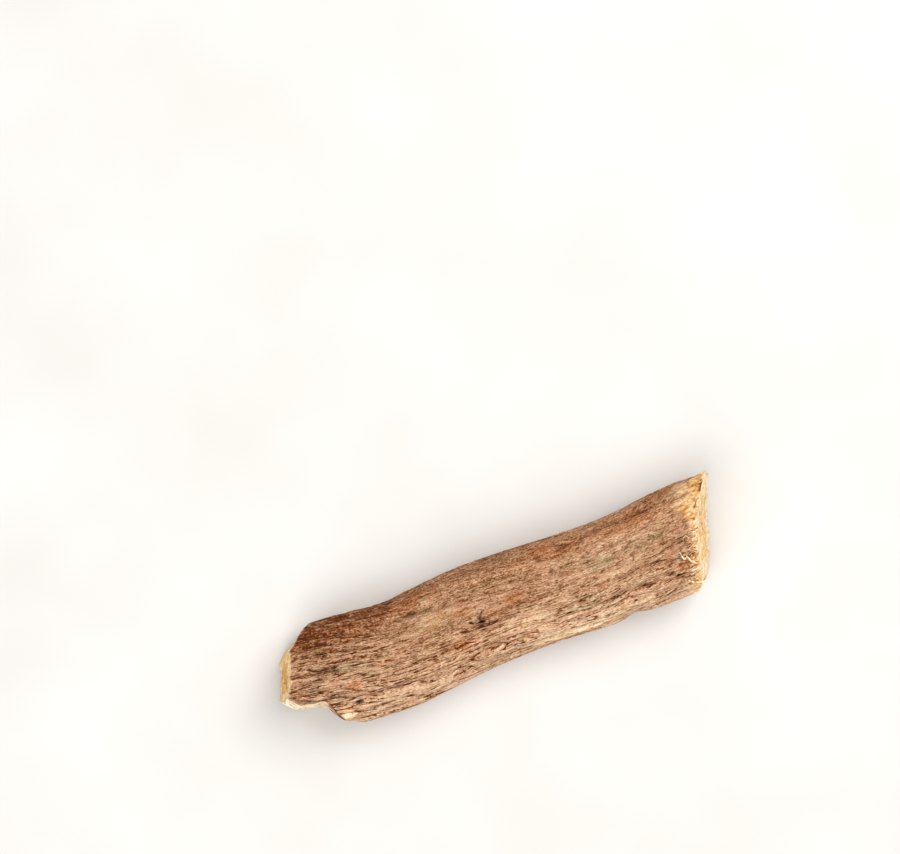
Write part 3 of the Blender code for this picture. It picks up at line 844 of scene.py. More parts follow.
@dataclass
class Root:
    """The whole root as one closed skin: bark, torn flank and both cut ends.

    The skin's columns follow the grain, and its rings run from the frayed cut's middle to the plain one's.
    """

    form: RootForm = RootForm()
    coarse: CoarseRelief = CoarseRelief()
    fine: FineRelief = FineRelief()
    tint: BarkTint = BarkTint()
    side: SideLook = SideLook()
    cut: CutLook = CutLook()
    bare_length: float = 0.75
    least_bare: float = 0.35
    bare_wave: Wave = Wave(2.5, 0.5, 131.7)
    bare_change: float = 1.1
    bare_slow_wave: Wave = Wave(1.0, 2.6, 131.7)
    bare_slow_change: float = 0.8
    plain_bare_length: float = 0.1
    plain_bare_change: float = 0.15
    bare_corner: tuple[Plan, Plan] = ((35.8, 10.2), (36.9, 6.6))
    bare_corner_from: float = 6.2
    bare_corner_up: float = -0.3
    bare_edge: float = 0.12
    bare_sunk: float = 0.7
    shake_wave: Wave = Wave(1.2, 0.3, 160.7)
    shakes: Plan = (0.9, 1.2)
    wedge_levels: Levels = (-0.15, 1.3)
    wedge_strength: float = 0.85
    fray_wave: Wave = Wave(0.5, 0.32, 148.7)
    fray_levels: Levels = (0.16, 0.34)
    fray_middle: float = 0.4
    fray_reach: float = 0.65
    fray_side: Levels = (-3.4, -1.4)
    tooth_wave: Wave = Wave(1.0, 0.45, 3.3)
    tooth_length: float = 0.16
    tooth_shift: float = 9.0
    torn_levels: Levels = (-0.05, 0.1)
    splinter_height: float = 0.16
    splinter_size: Plan = (4.0, 0.3)
    splinter_start: float = 9.1
    overhang_wave: Wave = Wave(1.5, 1.0, 3.7)
    overhang: float = 3.5
    overhang_change: float = 1.2
    overhang_edge: float = 0.3
    torn_bark_from: Levels = (-31.4, -30.6)
    torn_bark_gap: Plan = (-26.6, 0.9)
    torn_bark_share: float = 0.75
    torn_bark_shade: float = 0.25
    corner_rim: float = 0.24
    corner_rim_strength: float = 0.9
    hollow_depth: float = 0.45
    hollow_middle: float = 3.0
    hollow_width: float = 5.0
    hollow_reach: float = 3.5
    # How far the rim's raggedness and its teeth reach: along the sides, and over the cuts.
    side_reaches: Levels = (0.8, 0.35)
    cut_reaches: Levels = (0.6, 0.3)

    def along_at(self, share: Array | float) -> Array | float:
        """Turns shares of the way from the plain cut to the frayed one into places along the root."""
        return self.form.plain_end + share * (self.form.frayed_end - self.form.plain_end)

    def ring_places(self, count: int) -> Array:
        """Spreads rings over the root, closer together at both ends and at the knot.

        Args:
            count: How many rings to place.

        Returns:
            Their shares of the way along, from 1 down to 0.
        """
        fine_steps = np.linspace(0.0, 1.0, self.form.fine_steps)
        along, places = self.along_at(fine_steps), self.form.detail_places
        density = 1.0 + sum(extra * bell(along - place, reach) for place, reach, extra in places)
        counted = np.concatenate(([0.0], np.cumsum((density[1:] + density[:-1]) / 2.0)))
        return np.interp(np.linspace(1.0, 0.0, count), counted / counted[-1], fine_steps)

    def cut_away(self, along: Array, y: Array, height: Array, leaning: Array) -> tuple[Array, Array]:
        """Brings the skin in to what the rounded corner, the torn flank and the frayed corner leave.

        Args:
            along: The rings' places.
            y: The skin's y before anything is missing.
            height: How far above the root's middle each point lies.
            leaning: How far each point is leant along the root.

        Returns:
            The new y, and how far the torn flank was cut in.
        """
        form = self.form
        torn = columns_at(form.torn, along)[0]
        lean = form.torn_lean * (1.0 - smooth_step(*form.torn_upright, along))
        torn = torn + lean * smooth_step(*form.torn_lean_levels, height)
        fibres = cloud(along / form.torn_fibre_size[0], height / form.torn_fibre_size[1])
        torn = torn + form.torn_fibres * fibres
        torn_in = np.where(along < form.torn[-1][0], torn - y, -FAR_OFF)
        splinter = cloud(along / self.splinter_size[0], height / self.splinter_size[1], self.splinter_start)
        y = np.where(torn_in > 0.0, torn + self.splinter_height * splinter, y)
        y = np.where(along < form.corner[-1][0], np.minimum(y, self.corner_limit(along, leaning)), y)
        frayed = columns_at(form.frayed_corner, along)[0]
        return np.where(along > form.frayed_corner[0][0], np.maximum(y, frayed), y), torn_in

    def corner_limit(self, along: Array, leaning: Array) -> Array:
        """Reads how far the rounded corner lets the root reach."""
        upright = np.linspace(self.form.corner[0][0], self.form.corner[-1][0], self.form.corner_steps)
        return np.interp(along + leaning, upright, columns_at(self.form.corner, upright)[0].ravel())

    def corner_rim_near(self, along: Array, y: Array, leaning: Array) -> Array:
        """Tells how near each point is to the broken edge of the rounded corner, from 0 to 1."""
        near = smooth_step(-self.corner_rim, 0.0, y - self.corner_limit(along, leaning))
        return np.where(along < self.form.corner[-3][0], near, 0.0)

    def bared(self, at: Places) -> tuple[Array, Array]:
        """Finds where bark has broken back from the cuts and shows wood.

        Args:
            at: The points.

        Returns:
            How bare each point is, and how much it lies on the bark's broken edge.
        """
        form, up = self.form, np.sin(at.angle)
        quick = self.bare_wave.read(at.along, at.grain)
        slow = self.bare_slow_wave.read(np.zeros(1), at.grain)
        reach = self.bare_length + self.bare_change * quick + self.bare_slow_change * slow
        frayed = np.maximum(self.least_bare, reach) - (form.frayed_end - at.along)
        plain = self.plain_bare_length + self.plain_bare_change * quick - (at.along - form.plain_end)
        tip, far, near = form.wedge
        shake = self.shakes[0] * quick + self.shakes[1] * self.shake_wave.read(at.along, at.grain)
        wedge = np.minimum(*(left_of_line(at.x, at.y + shake, *side) for side in ((tip, near), (far, tip))))
        wedge = self.wedge_strength * smooth_step(*self.wedge_levels, wedge) * (up > 0.0)
        corner = left_of_line(at.x + shake, at.y, *self.bare_corner)
        corner = np.where((up > self.bare_corner_up) & (at.y > self.bare_corner_from), corner, -FAR_OFF)
        inside = np.maximum(np.maximum(frayed, plain), corner)
        edge = np.where(at.along > 0.0, bell(inside - self.fray_middle, self.fray_reach), 0.0)
        edge = edge * smooth_step(*self.fray_levels, self.fray_wave.read(at.along, at.grain))
        bare = smooth_step(-self.bare_edge, self.bare_edge, inside)
        return np.maximum(bare, wedge), edge * smooth_step(*self.fray_side, at.y)

    def relief(self, at: Places) -> tuple[Array, Marks]:
        """Works out how far the bark stands out from the root's plain form.

        Args:
            at: The points.

        Returns:
            The heights, and what the relief holds.
        """
        coarse, fine = self.coarse, self.fine
        valley, strength = coarse.valleys(at.along, at.grain)
        furrow = coarse.furrow_depth(at.x, at.y) * at.top
        bare, edge = self.bared(at)
        scaly = fine.least_scaly + (1.0 - fine.least_scaly) * smooth_step(*fine.scaly_levels, at.y)
        lower, calm = smooth_step(*fine.lower_levels, at.y), smooth_step(*fine.calm_levels, at.x)
        lined = fine.least_lined + (1.0 - fine.least_lined) * lower
        drift = fine.drift * at.read(fine.drift_wave)
        gate = smooth_step(*fine.wrinkle_levels, at.read(fine.wrinkle_gate))
        wrinkle, lip_highlight = fine.wrinkles.read(at.x, at.grain, drift)
        wrinkle = wrinkle * (1.0 - fine.gate_share + fine.gate_share * np.maximum(gate, lower)) * lined
        wrinkle = wrinkle * (1.0 - fine.calm_loss * calm)
        nick_gate = smooth_step(*fine.nick_levels, at.read(fine.nick_gate))
        nick, nick_lip_highlight = fine.nicks.read(at.x, at.grain, -drift)
        nick = nick * nick_gate * lined
        fibre = at.read(fine.fibre_wave)
        flake = smooth_step(*fine.flake_levels, at.read(fine.flake_wave) + fine.flake_fringe * fibre)
        pit = smooth_step(*fine.pit_levels, at.read(fine.pit_wave)) * scaly
        depth, dark = fine.opened(at)

        rise = (coarse.crown - (coarse.crown + coarse.valley_depth) * valley) * strength - furrow
        rise = rise + coarse.scar_height(at.along, at.angle) + coarse.knot_height(at.x, at.y) * at.top
        sunk = self.bare_sunk * smooth_step(0.0, 1.0, self.form.frayed_end - at.along)
        rise = rise - self.form.bark_thickness * bare * sunk - fine.edge_depth * edge
        rise = rise - fine.wrinkles.depth * wrinkle - fine.nicks.depth * nick - fine.pit_depth * pit - depth
        rise = rise + scaly * (fine.fibre_height * fibre + fine.flake_height * flake)
        marks = Marks(rise, valley * strength, furrow, bare, edge, np.maximum(wrinkle, nick),
                      lip_highlight * gate + nick_lip_highlight * nick_gate, fibre, flake, pit, dark, calm)
        return rise + coarse.swelling(at.along, at.grain), marks

    def masks(self, at: Places, marks: Marks, height: Array, torn: Array, rim: Array) -> dict[Mask, Array]:
        """Works out what the finish needs to know of the sides.

        Args:
            at: The points.
            marks: What the relief holds there.
            height: How far above the root's middle each point lies.
            torn: How much each point is on the torn flank.
            rim: How near each point is to the rounded corner's edge.

        Returns:
            Every mask.
        """
        bark_side = smooth_step(*self.torn_bark_from, at.along)
        overhang = self.overhang + self.overhang_change * at.read(self.overhang_wave)
        torn_bare = torn * (1.0 - smooth_step(-self.overhang_edge, self.overhang_edge, height - overhang))
        gap, gap_reach = self.torn_bark_gap
        bark_left = self.torn_bark_share * bark_side * (1.0 - bell(at.along - gap, gap_reach))
        thin = patchwork(self.tint.thin, at.x, at.y) * at.top
        bare = np.maximum(np.maximum(marks.bare, torn_bare * (1.0 - bark_left)), thin)
        return {
            # The bark left on the torn flank is painted darker: painted shade.
            Mask.PALE: self.tint.paleness(at, marks) - self.torn_bark_shade * torn * bark_side,
            Mask.RUST: patchwork(self.tint.rust, at.seen_x, at.y) * at.top,
            Mask.ASH: patchwork(self.tint.ash, at.seen_x, at.y) * at.top,
            Mask.BARE: np.maximum(bare, self.corner_rim_strength * rim),
            Mask.CREAM: self.side.creaminess(at, marks, torn, thin),
            Mask.CRACK_SHADE: self.side.crack_and_pit_shade(marks),
            Mask.LINES: self.side.line_strength(at, marks)}

    def sides_skin(self, share: Array, grain: Array) -> Skin:
        """Shapes and tints the outside of the root.

        Args:
            share: How far along the root each ring lies, from 0 to 1, in a column.
            grain: The columns' grain, in a row.

        Returns:
            The skin, in millimetres.
        """
        form, along = self.form, self.along_at(share)
        angle = grain + self.coarse.twist_at(along)
        upper, lower, half_height, square = columns_at(form.stations, along)
        half_width, middle = (upper - lower) / 2.0, (upper + lower) / 2.0
        middle_height = half_height - form.worn_depth + form.end_rise * (along / form.half_length) ** 2
        across, up = np.cos(angle), np.sin(angle)
        reach = np.abs(across / half_width) ** square + np.abs(up / half_height) ** square
        reach = reach ** (-1.0 / square)
        y = middle + reach * across
        x = along + form.slant * y
        lean = form.plain_lean * (1.0 - share) - form.frayed_lean * share
        at = Places(along, grain, angle, x, y, x + lean * reach * up, (up > 0.0).astype(float))
        relief, marks = self.relief(at)

        worn = np.where(up < 0.0, bell(np.hypot(x / form.worn_stretch, y), form.worn_patch), 0.0)
        reach = reach + relief * (1.0 - worn)
        whole_y, z = middle + reach * across, np.maximum(0.0, middle_height + reach * up)
        height = z - middle_height
        leaning = lean * height
        new_y, torn_in = self.cut_away(along, whole_y, height, leaning)
        points = np.stack((along + form.slant * new_y + leaning, new_y, z), axis=-1)
        torn = smooth_step(*self.torn_levels, torn_in)
        masks = self.masks(at, marks, height, torn, self.corner_rim_near(along, whole_y, leaning))
        around = np.broadcast_arrays(x, BARK_RADIUS * np.cos(grain), BARK_RADIUS * np.sin(grain))
        return Skin(points, np.stack(around, axis=-1), masks)

    def cut_skin(self, rim: Array, rim_grain: Array, end: CutEnd) -> Skin:
        """Shapes and tints a cut end, from just inside its rim to its middle.

        Args:
            rim: The points of the ring at the cut, as one row.
            rim_grain: The grain at those points, in a row.
            end: Which cut it is.

        Returns:
            The rings of the cut, outermost first.
        """
        form, cut = self.form, self.cut
        inward = ((np.arange(1, form.end_rings + 1) / form.end_rings) ** form.end_ring_power)[:, None]
        centre = rim[0].mean(axis=0)
        points = rim * (1.0 - inward[..., None]) + centre * inward[..., None]
        radius = np.linalg.norm(rim - centre, axis=-1)
        deep, left = inward * radius, (1.0 - inward) * radius
        ray = cut.ray_wave.read(deep, rim_grain, cut.ray_shift * end.outward)
        saw = cloud(
            points[..., 2] / cut.saw_pitch, points[..., 1] / cut.saw_length, cut.saw_start + end.outward)
        rag = cut.rag_wave.read(np.zeros(1), rim_grain, end.outward)
        turn = np.arctan2(points[..., 2] - centre[2], points[..., 1] - centre[1])
        split, pith = self.drying_cracks(turn, left, end.seed), bell(left, cut.pith_radius)
        rough = form.cut_roughness * cloud(*np.moveaxis(points / form.cut_grain, -1, 0))
        nap = cut.ray_height * ray + cut.saw_height * saw
        nap = nap - cut.crack_depth * np.maximum(split, cut.pith_depth * pith)
        rough = rough * smooth_step(*cut.rough_levels, deep)
        points[..., 0] += rough + end.outward * nap * smooth_step(*cut.nap_levels, deep)

        past_ring = deep - end.bark_ring - cut.bark_ring_raggedness * rag
        bark = 1.0 - smooth_step(*cut.bark_edge, past_ring)
        past_bast = left / radius - cut.bast_share
        bast = smooth_step(*cut.bast_edge, past_bast)
        cream = cut.wood_cream + (cut.bast_cream - cut.wood_cream) * bast
        cream = cream + cut.ray_cream * ray + cut.saw_cream * saw + end.cream_change
        cream = cream + end.rim_cream * bell(deep, cut.rim_width)
        cream = cream - cut.cambium_dark * bell(past_bast, cut.cambium_width)
        blank = np.zeros_like(deep)
        masks = {
            Mask.PALE: cut.bark_paleness + cut.bark_change * rag + blank,
            Mask.RUST: cut.bark_rust + blank,
            Mask.ASH: blank,
            Mask.BARE: 1.0 - end.bark_share * bark,
            Mask.CREAM: cream,
            Mask.CRACK_SHADE: np.maximum(cut.crack_dark * split, cut.pith_dark * pith),
            Mask.LINES: blank}
        return Skin(points, points - centre + np.array((form.ends_apart * end.outward, 0.0, 0.0)), masks)

    def drying_cracks(self, turn: Array, left: Array, seed: int) -> Array:
        """Draws the cracks that run out from the middle of a cut.

        Args:
            turn: The direction of each point from the middle.
            left: Its distance from the middle.
            seed: Fixes the places of the cracks.

        Returns:
            How much each point is in a crack, from 0 to 1.
        """
        cut, draw = self.cut, random.Random(seed)
        split = np.zeros_like(left)
        for _ in range(cut.cracks):
            direction = draw.uniform(-math.pi, math.pi)
            length = draw.uniform(*cut.crack_lengths) * cut.crack_length
            wave = cut.crack_bend * np.sin(left * cut.crack_bends + direction)
            bend = (turn - direction + wave + math.pi) % FULL_TURN - math.pi
            off = np.where(np.abs(bend) < cut.crack_spread, left * np.sin(bend), FAR_OFF)
            taper = smooth_step(0.0, cut.crack_taper, length - left)
            split = np.maximum(split, bell(off, cut.crack_half_width) * taper)
        return split

    def skin(self) -> Skin:
        """Shapes the whole skin.

        Returns:
            Its rings, from the frayed cut's middle to the plain cut's.
        """
        form = self.form
        grain = (np.arange(form.sides) * FULL_TURN / form.sides)[None, :]
        share = self.ring_places(form.rings - 2 * form.end_rings + 1)[:, None]
        along, sides = self.along_at(share), self.sides_skin(share, grain)
        caps = []
        for end, at_end, row in ((FRAYED_CUT, 1.0, slice(None, 1)), (PLAIN_CUT, 0.0, slice(-1, None))):
            rim = sides.points[row].copy()
            cap = self.cut_skin(rim, grain, end)
            rag = form.rim_raggedness * form.rag_wave.read(np.full(1, form.ends_apart * at_end), grain)
            tooth = self.tooth_length * self.tooth_wave.read(np.full(1, self.tooth_shift * at_end), grain)
            limit = self.along_at(at_end)
            near_cut = at_end * smooth_step(limit - self.hollow_reach, limit, along)
            deep = np.linalg.norm(cap.points - rim, axis=-1)
            for points, away, reaches, hollowed in (
                    (sides.points, along - limit, self.side_reaches, near_cut),
                    (cap.points, deep, self.cut_reaches, at_end)):
                points[..., 0] += rag * bell(away, reaches[0]) + tooth * bell(away, reaches[1])
                hollow = self.hollow_depth * bell(points[..., 1] - self.hollow_middle, self.hollow_width)
                points[..., 0] -= hollow * hollowed
            caps.append(cap)

        def joined(frayed: Array, middle: Array, plain: Array) -> Array:
            """Puts the rings of all three stretches in order."""
            return np.concatenate((frayed[::-1], middle, plain), axis=0)

        parts = (caps[0], sides, caps[1])
        return Skin(
            joined(*(part.points for part in parts)) + TO_ORIGIN,
            joined(*(part.grain_space for part in parts)),
            {mask: joined(*(part.masks[mask] for part in parts)) for mask in Mask},
            along[:, 0])

    def mesh(self, skin: Skin) -> bpy.types.Mesh:
        """Draws a ball out into the root, with its two poles at the middles of the cuts.

        Args:
            skin: The whole skin.

        Returns:
            The mesh, with the skin's masks as attributes.
        """
        form = self.form
        mesh, (ball,) = many_balls("licorice_root_skin", 1, form.sides, form.rings)
        ring = np.rint(np.arccos(np.clip(ball[:, 2], -1.0, 1.0)) / math.pi * form.rings).astype(int)
        side = np.rint(np.arctan2(ball[:, 1], ball[:, 0]) / FULL_TURN * form.sides).astype(int) % form.sides
        settle(mesh, skin.points[ring, side])
        masks = {mask: values[ring, side] for mask, values in skin.masks.items()}
        store(mesh, skin.grain_space[ring, side], masks)
        return mesh


@dataclass
class Surface:
    """The outside of the finished skin, to lay loose fibres and flakes of bark on.

    A place on it is a ring and a side, both counted in steps of the skin's grid.
    """

    form: RootForm
    skin: Skin
    least_up: float = 0.15
    grain_offset: tuple[float, float, float] = (0.9, 0.0, 0.0)
    normals: Array = field(init=False)
    first: int = field(init=False)
    last: int = field(init=False)
    masks: Array = field(init=False)

    def __post_init__(self) -> None:
        """Works out the outward normals and gathers what can be read from the skin."""
        points = self.skin.points
        round_it = np.roll(points, -1, axis=1) - np.roll(points, 1, axis=1)
        normals = np.cross(np.gradient(points, axis=0), round_it)
        normals /= np.maximum(np.linalg.norm(normals, axis=-1, keepdims=True), TINY)
        outward = points - points.mean(axis=1, keepdims=True)
        self.normals = normals * np.sign((normals * outward).sum())
        self.first = self.form.end_rings
        self.last = self.form.rings - self.form.end_rings
        self.masks = np.stack([self.skin.masks[mask] for mask in Mask], axis=-1)

    def ring_at(self, along: Array) -> Array:
        """Finds the ring at places along the root."""
        steps = np.arange(self.first, self.last + 1, dtype=float)
        return np.interp(along, self.skin.places[::-1], steps[::-1])

    def side_at(self, grain: Array) -> Array:
        """Finds the side at grains."""
        return grain / FULL_TURN * self.form.sides

    def nearest(self, place: Plan) -> tuple[float, float]:
        """Finds the grid's point on the top that is nearest to a place of the plan.

        Args:
            place: The place, before the root is brought to the origin.

        Returns:
            Its distance along the root and its grain.
        """
        body = slice(self.first, self.last + 1)
        offset = self.skin.points[body, :, :2] - TO_ORIGIN[:2] - np.array(place)
        upward = self.normals[body, :, 2] > self.least_up
        distance = np.where(upward, np.hypot(offset[..., 0], offset[..., 1]), FAR_OFF)
        ring, side = np.unravel_index(int(np.argmin(distance)), distance.shape)
        return float(self.skin.places[ring]), float(side) / self.form.sides * FULL_TURN

    def read(self, values: Array, ring: Array, side: Array) -> Array:
        """Reads values between the grid's points.

        Args:
            values: One or more values for each point of the grid.
            ring: The rings to read at.
            side: The sides to read at.

        Returns:
            The values there.
        """
        ring = np.clip(ring, self.first, self.last - SLIGHT)
        low_ring, low_side = np.floor(ring).astype(int), np.floor(side).astype(int)
        step, turn = (ring - low_ring)[..., None], (side - low_side)[..., None]
        here, there = low_side % self.form.sides, (low_side + 1) % self.form.sides
        near, far = (values[row, here] * (1.0 - turn) + values[row, there] * turn
                     for row in (low_ring, low_ring + 1))
        return near * (1.0 - step) + far * step

    def dress(self, mesh: bpy.types.Mesh, points: Array, ring: Array, side: Array,
              changes: dict[Mask, Array | float]) -> None:
        """Puts a mesh's points in place and gives them the masks of the skin below, with some changed.

        Args:
            mesh: The mesh.
            points: Where its points go.
            ring: The ring below each point.
            side: The side below each point.
            changes: Values that are added to the masks.
        """
        settle(mesh, points)
        masks = self.read(self.masks, ring, side)
        grain_space = self.read(self.skin.grain_space, ring, side) + np.array(self.grain_offset)
        store(mesh, grain_space, {
            mask: masks[..., column] + changes.get(mask, 0.0) for column, mask in enumerate(Mask)})


def many_balls(name: str, count: int, segments: int, rings: int) -> tuple[bpy.types.Mesh, Array]:
    """Makes one mesh of closed balls, to be drawn out into the root, fibres or flakes.

    Args:
        name: The mesh's name.
        count: How many balls there are.
        segments: Each ball's segments.
        rings: Each ball's rings.

    Returns:
        The mesh, and the points of every ball with a radius of 1.
    """
    mesh, ball, shape = bpy.data.meshes.new(name), bmesh.new(), bmesh.new()
    bmesh.ops.create_uvsphere(ball, u_segments=segments, v_segments=rings, radius=1.0)
    ball.to_mesh(mesh)
    ball.free()
    shape.from_mesh(mesh)
    sizes = (len(mesh.vertices), len(mesh.edges), len(mesh.polygons))
    made = 1
    while made < count:
        more = min(made, count - made)
        copied = [part for kind, size in zip((shape.verts, shape.edges, shape.faces), sizes)
                  for part in list(kind)[:size * more]]
        bmesh.ops.duplicate(shape, geom=copied)
        made += more
    shape.to_mesh(mesh)
    shape.free()
    places = np.zeros(len(mesh.vertices) * 3)
    mesh.vertices.foreach_get("co", places)
    return mesh, places.reshape(count, -1, 3)


def settle(mesh: bpy.types.Mesh, points: Array) -> None:
    """Moves a mesh's points to their places in millimetres, with its faces outwards and smooth.

    Args:
        mesh: The mesh.
        points: The places.
    """
    mesh.vertices.foreach_set("co", (points * MM).ravel())
    shape = bmesh.new()
    shape.from_mesh(mesh)
    bmesh.ops.recalc_face_normals(shape, faces=shape.faces)
    shape.to_mesh(mesh)
    shape.free()
    mesh.shade_smooth()


@dataclass
class Draws:
    """Seeded random values, one for each of many small things."""

    count: int
    seed: int
    source: np.random.Generator = field(init=False)

    def __post_init__(self) -> None:
        """Starts the draws."""
        self.source = np.random.default_rng(self.seed)

    def spread(self, limits: Levels, power: float = 1.0) -> Array:
        """Draws a column of values between limits, more of them small with a higher power."""
        return limits[0] + (limits[1] - limits[0]) * self.source.random((self.count, 1)) ** power


@dataclass(frozen=True)
class Flakes:
    """Thin flakes of dry bark that lift along one edge.

    Each size is drawn between its limits, and a power above 1 makes more of the flakes small.
    """

    count: int = 1500
    seed: int = 29
    along: Levels = (-36.0, 33.0)
    degrees: Levels = (-25.0, 205.0)
    length: Levels = (0.5, 2.4)
    length_power: float = 1.8
    width: Levels = (0.14, 0.42)
    width_power: float = 1.4
    thickness: float = 0.06
    lift: Levels = (0.02, 0.13)
    lift_power: float = 1.5
    skew: Levels = (-0.12, 0.12)
    paler: Levels = (-0.06, 0.14)
    sunk: float = 0.03
    left_share: float = 0.3
    wave: float = 0.12
    waves: Plan = (3.0, 7.0)
    curl: float = 0.4
    curls: Plan = (2.0, 5.0)
    # Flakes carry less of the painted shade of the bark below them.
    less_crack_shade: float = -0.6
    segments: int = 10
    rings: int = 5

    def mesh(self, surface: Surface) -> bpy.types.Mesh:
        """Builds the flakes.

        Args:
            surface: What they lie on.

        Returns:
            One mesh of closed flakes.
        """
        draws = Draws(self.count, self.seed)
        mesh, balls = many_balls("bark_flakes", self.count, self.segments, self.rings)
        place, turn = draws.spread(self.along), np.radians(draws.spread(self.degrees))
        length = draws.spread(self.length, self.length_power)
        width = draws.spread(self.width, self.width_power)
        lift = draws.spread(self.lift, self.lift_power)
        skew, paler = draws.spread(self.skew), draws.spread(self.paler)
        side_up = np.where(draws.spread((0.0, 1.0)) < self.left_share, -1.0, 1.0)
        ahead, aside, up = balls[..., 0], balls[..., 1], balls[..., 2]
        along = place + ahead * length / 2.0
        off = aside * width / 2.0 + skew * ahead * length / 2.0
        off = off + self.wave * width * np.sin(ahead * self.waves[0] + place * self.waves[1])
        ring, side = surface.ring_at(along), surface.side_at(turn + off / BARK_RADIUS)
        curl = 1.0 - self.curl + self.curl * np.sin(ahead * self.curls[0] + place * self.curls[1])
        stand = up * self.thickness / 2.0 + lift * (0.5 + 0.5 * side_up * aside) ** 2 * curl - self.sunk
        points = surface.read(surface.skin.points, ring, side)
        points = points + surface.read(surface.normals, ring, side) * stand[..., None]
        surface.dress(mesh, points, ring, side, {Mask.PALE: paler, Mask.CRACK_SHADE: self.less_crack_shade})
        return mesh


@dataclass(frozen=True)
class Fibres:
    """Loose wood fibres along an edge: thin tapered strands that follow the grain and lift at one end."""

    name: str
    count: int
    seed: int
    along: Levels
    degrees: Levels
    length: Levels = (0.8, 2.4)
    radius: Levels = (0.04, 0.09)
    rise: Levels = (0.0, 0.25)
    aim: Levels = (-0.35, 0.35)
    cream: Levels = (-0.1, 0.25)
    bend: Levels = (-0.25, 0.25)
    proud: float = 0.4
    segments: int = 6
    rings: int = 10

    def mesh(self, surface: Surface) -> bpy.types.Mesh:
        """Builds the fibres.

        Args:
            surface: What they lie on.

        Returns:
            One mesh of closed strands.
        """
        draws = Draws(self.count, self.seed)
        mesh, balls = many_balls(self.name, self.count, self.segments, self.rings)
        start, turn = draws.spread(self.along), np.radians(draws.spread(self.degrees))
        length, radius, rise, aim, cream, bend = (draws.spread(limits) for limits in (
            self.length, self.radius, self.rise, self.aim, self.cream, self.bend))
        step = 0.5 + 0.5 * balls[..., 2]
        along = start + length * step
        off = length * (aim * step + bend * np.sin(math.pi * step))
        ring, side = surface.ring_at(along), surface.side_at(turn + off / BARK_RADIUS)
        centre = surface.read(surface.skin.points, ring, side)
        centre[..., 0] += np.maximum(0.0, along - surface.skin.places[0])
        outward = surface.read(surface.normals, ring, side)
        aside = np.cross(outward, np.array((1.0, 0.0, 0.0)))
        aside /= np.maximum(np.linalg.norm(aside, axis=-1, keepdims=True), TINY)
        points = centre + outward * (rise * step ** 2 + self.proud * radius)[..., None]
        points = points + radius[..., None] * (aside * balls[..., [0]] + outward * balls[..., [1]])
        surface.dress(mesh, points, ring, side, {Mask.BARE: 1.0, Mask.CREAM: cream, Mask.CRACK_SHADE: -1.0})
        return mesh


RIM_FIBRES = Fibres("frayed_rim_fibres", 200, 41, (33.4, 34.6), (-40.0, 220.0), length=(0.4, 1.1),
                    radius=(0.05, 0.1), rise=(0.0, 0.2), aim=(-0.6, 0.6), cream=(-0.2, 0.15))
TORN_FIBRES = Fibres("torn_flank_fibres", 70, 43, (-37.6, -31.5), (185.0, 235.0))


@dataclass(frozen=True)
class Curl:
    """One larger fibre that has sprung out of the bark."""

    route: tuple[Plan, ...]
    rises: tuple[float, ...]
    radius: float
    ahead: float = 0.0


@dataclass(frozen=True)
class Curls:
    """The fibres that have sprung out near the frayed end, each in its own place."""

    curls: tuple[Curl, ...] = (
        Curl(((29.9, -0.7), (30.1, -1.4), (30.8, -1.8), (31.3, -2.5), (31.9, -3.2), (32.5, -3.5)),
             (0.25, 0.35, 0.4, 0.35, 0.25, 0.1), 0.24),
        Curl(((31.3, 0.6), (31.6, 1.1), (32.0, 1.1), (32.2, 0.8), (31.9, 0.6)),
             (0.1, 0.4, 0.5, 0.45, 0.2), 0.09),
        Curl(((30.0, -5.7), (30.7, -6.1), (31.4, -6.5)), (0.0, 0.3, 0.5), 0.2, 1.3),
        Curl(((32.9, 1.5), (33.3, 1.4), (33.9, 1.5)), (0.1, 0.3, 0.2), 0.1),
        Curl(((32.7, 0.5), (33.1, 0.5), (33.9, 0.4)), (0.1, 0.25, 0.2), 0.09),
        Curl(((38.3, 9.5), (38.8, 9.0), (39.0, 8.7)), (0.1, 0.2, 0.1), 0.12),
    )
    lean: tuple[float, float, float] = (1.0, -0.4, 0.0)
    cream: float = 0.06
    segments: int = 8
    rings: int = 24

    def mesh(self, surface: Surface) -> bpy.types.Mesh:
        """Builds the curls.

        Args:
            surface: What they spring from.

        Returns:
            One mesh of closed strands.
        """
        mesh, balls = many_balls("sprung_fibres", len(self.curls), self.segments, self.rings)
        points, rings, sides = [], [], []
        for curl, ball in zip(self.curls, balls):
            whole = len(curl.route) - 1
            step = (0.5 + 0.5 * ball[:, 2]) * whole
            rows = tuple((float(number), *surface.nearest(place), rise)
                         for number, (place, rise) in enumerate(zip(curl.route, curl.rises)))
            along, grain, rise = columns_at(rows, step)
            ring, side = surface.ring_at(along[:, 0]), surface.side_at(grain[:, 0])
            outward = surface.read(surface.normals, ring, side)
            centre = surface.read(surface.skin.points, ring, side) + outward * rise
            centre[:, 0] += curl.ahead * (step / whole) ** 2
            aside = np.cross(outward, self.lean)
            aside /= np.linalg.norm(aside, axis=-1, keepdims=True)
            points.append(centre + curl.radius * (aside * ball[:, [0]] + outward * ball[:, [1]]))
            rings.append(ring)
            sides.append(side)
        surface.dress(mesh, np.concatenate(points), np.concatenate(rings), np.concatenate(sides),
                      {Mask.BARE: 1.0, Mask.CREAM: self.cream, Mask.CRACK_SHADE: -1.0})
        return mesh


def store(mesh: bpy.types.Mesh, grain_space: Array, masks: dict[Mask, Array]) -> None:
    """Keeps the grain's coordinates and every mask as attributes of a mesh's points.

    Args:
        mesh: The mesh.
        grain_space: Coordinates that follow the grain, for each point.
        masks: Values from 0 to 1 for each point.
    """
    data = mesh.attributes.new(GRAIN_SPACE, "FLOAT_VECTOR", "POINT").data
    data.foreach_set("vector", grain_space.ravel())
    for mask, values in masks.items():
        data = mesh.attributes.new(mask.value, "FLOAT", "POINT").data
        data.foreach_set("value", np.clip(values, 0.0, 1.0).ravel())


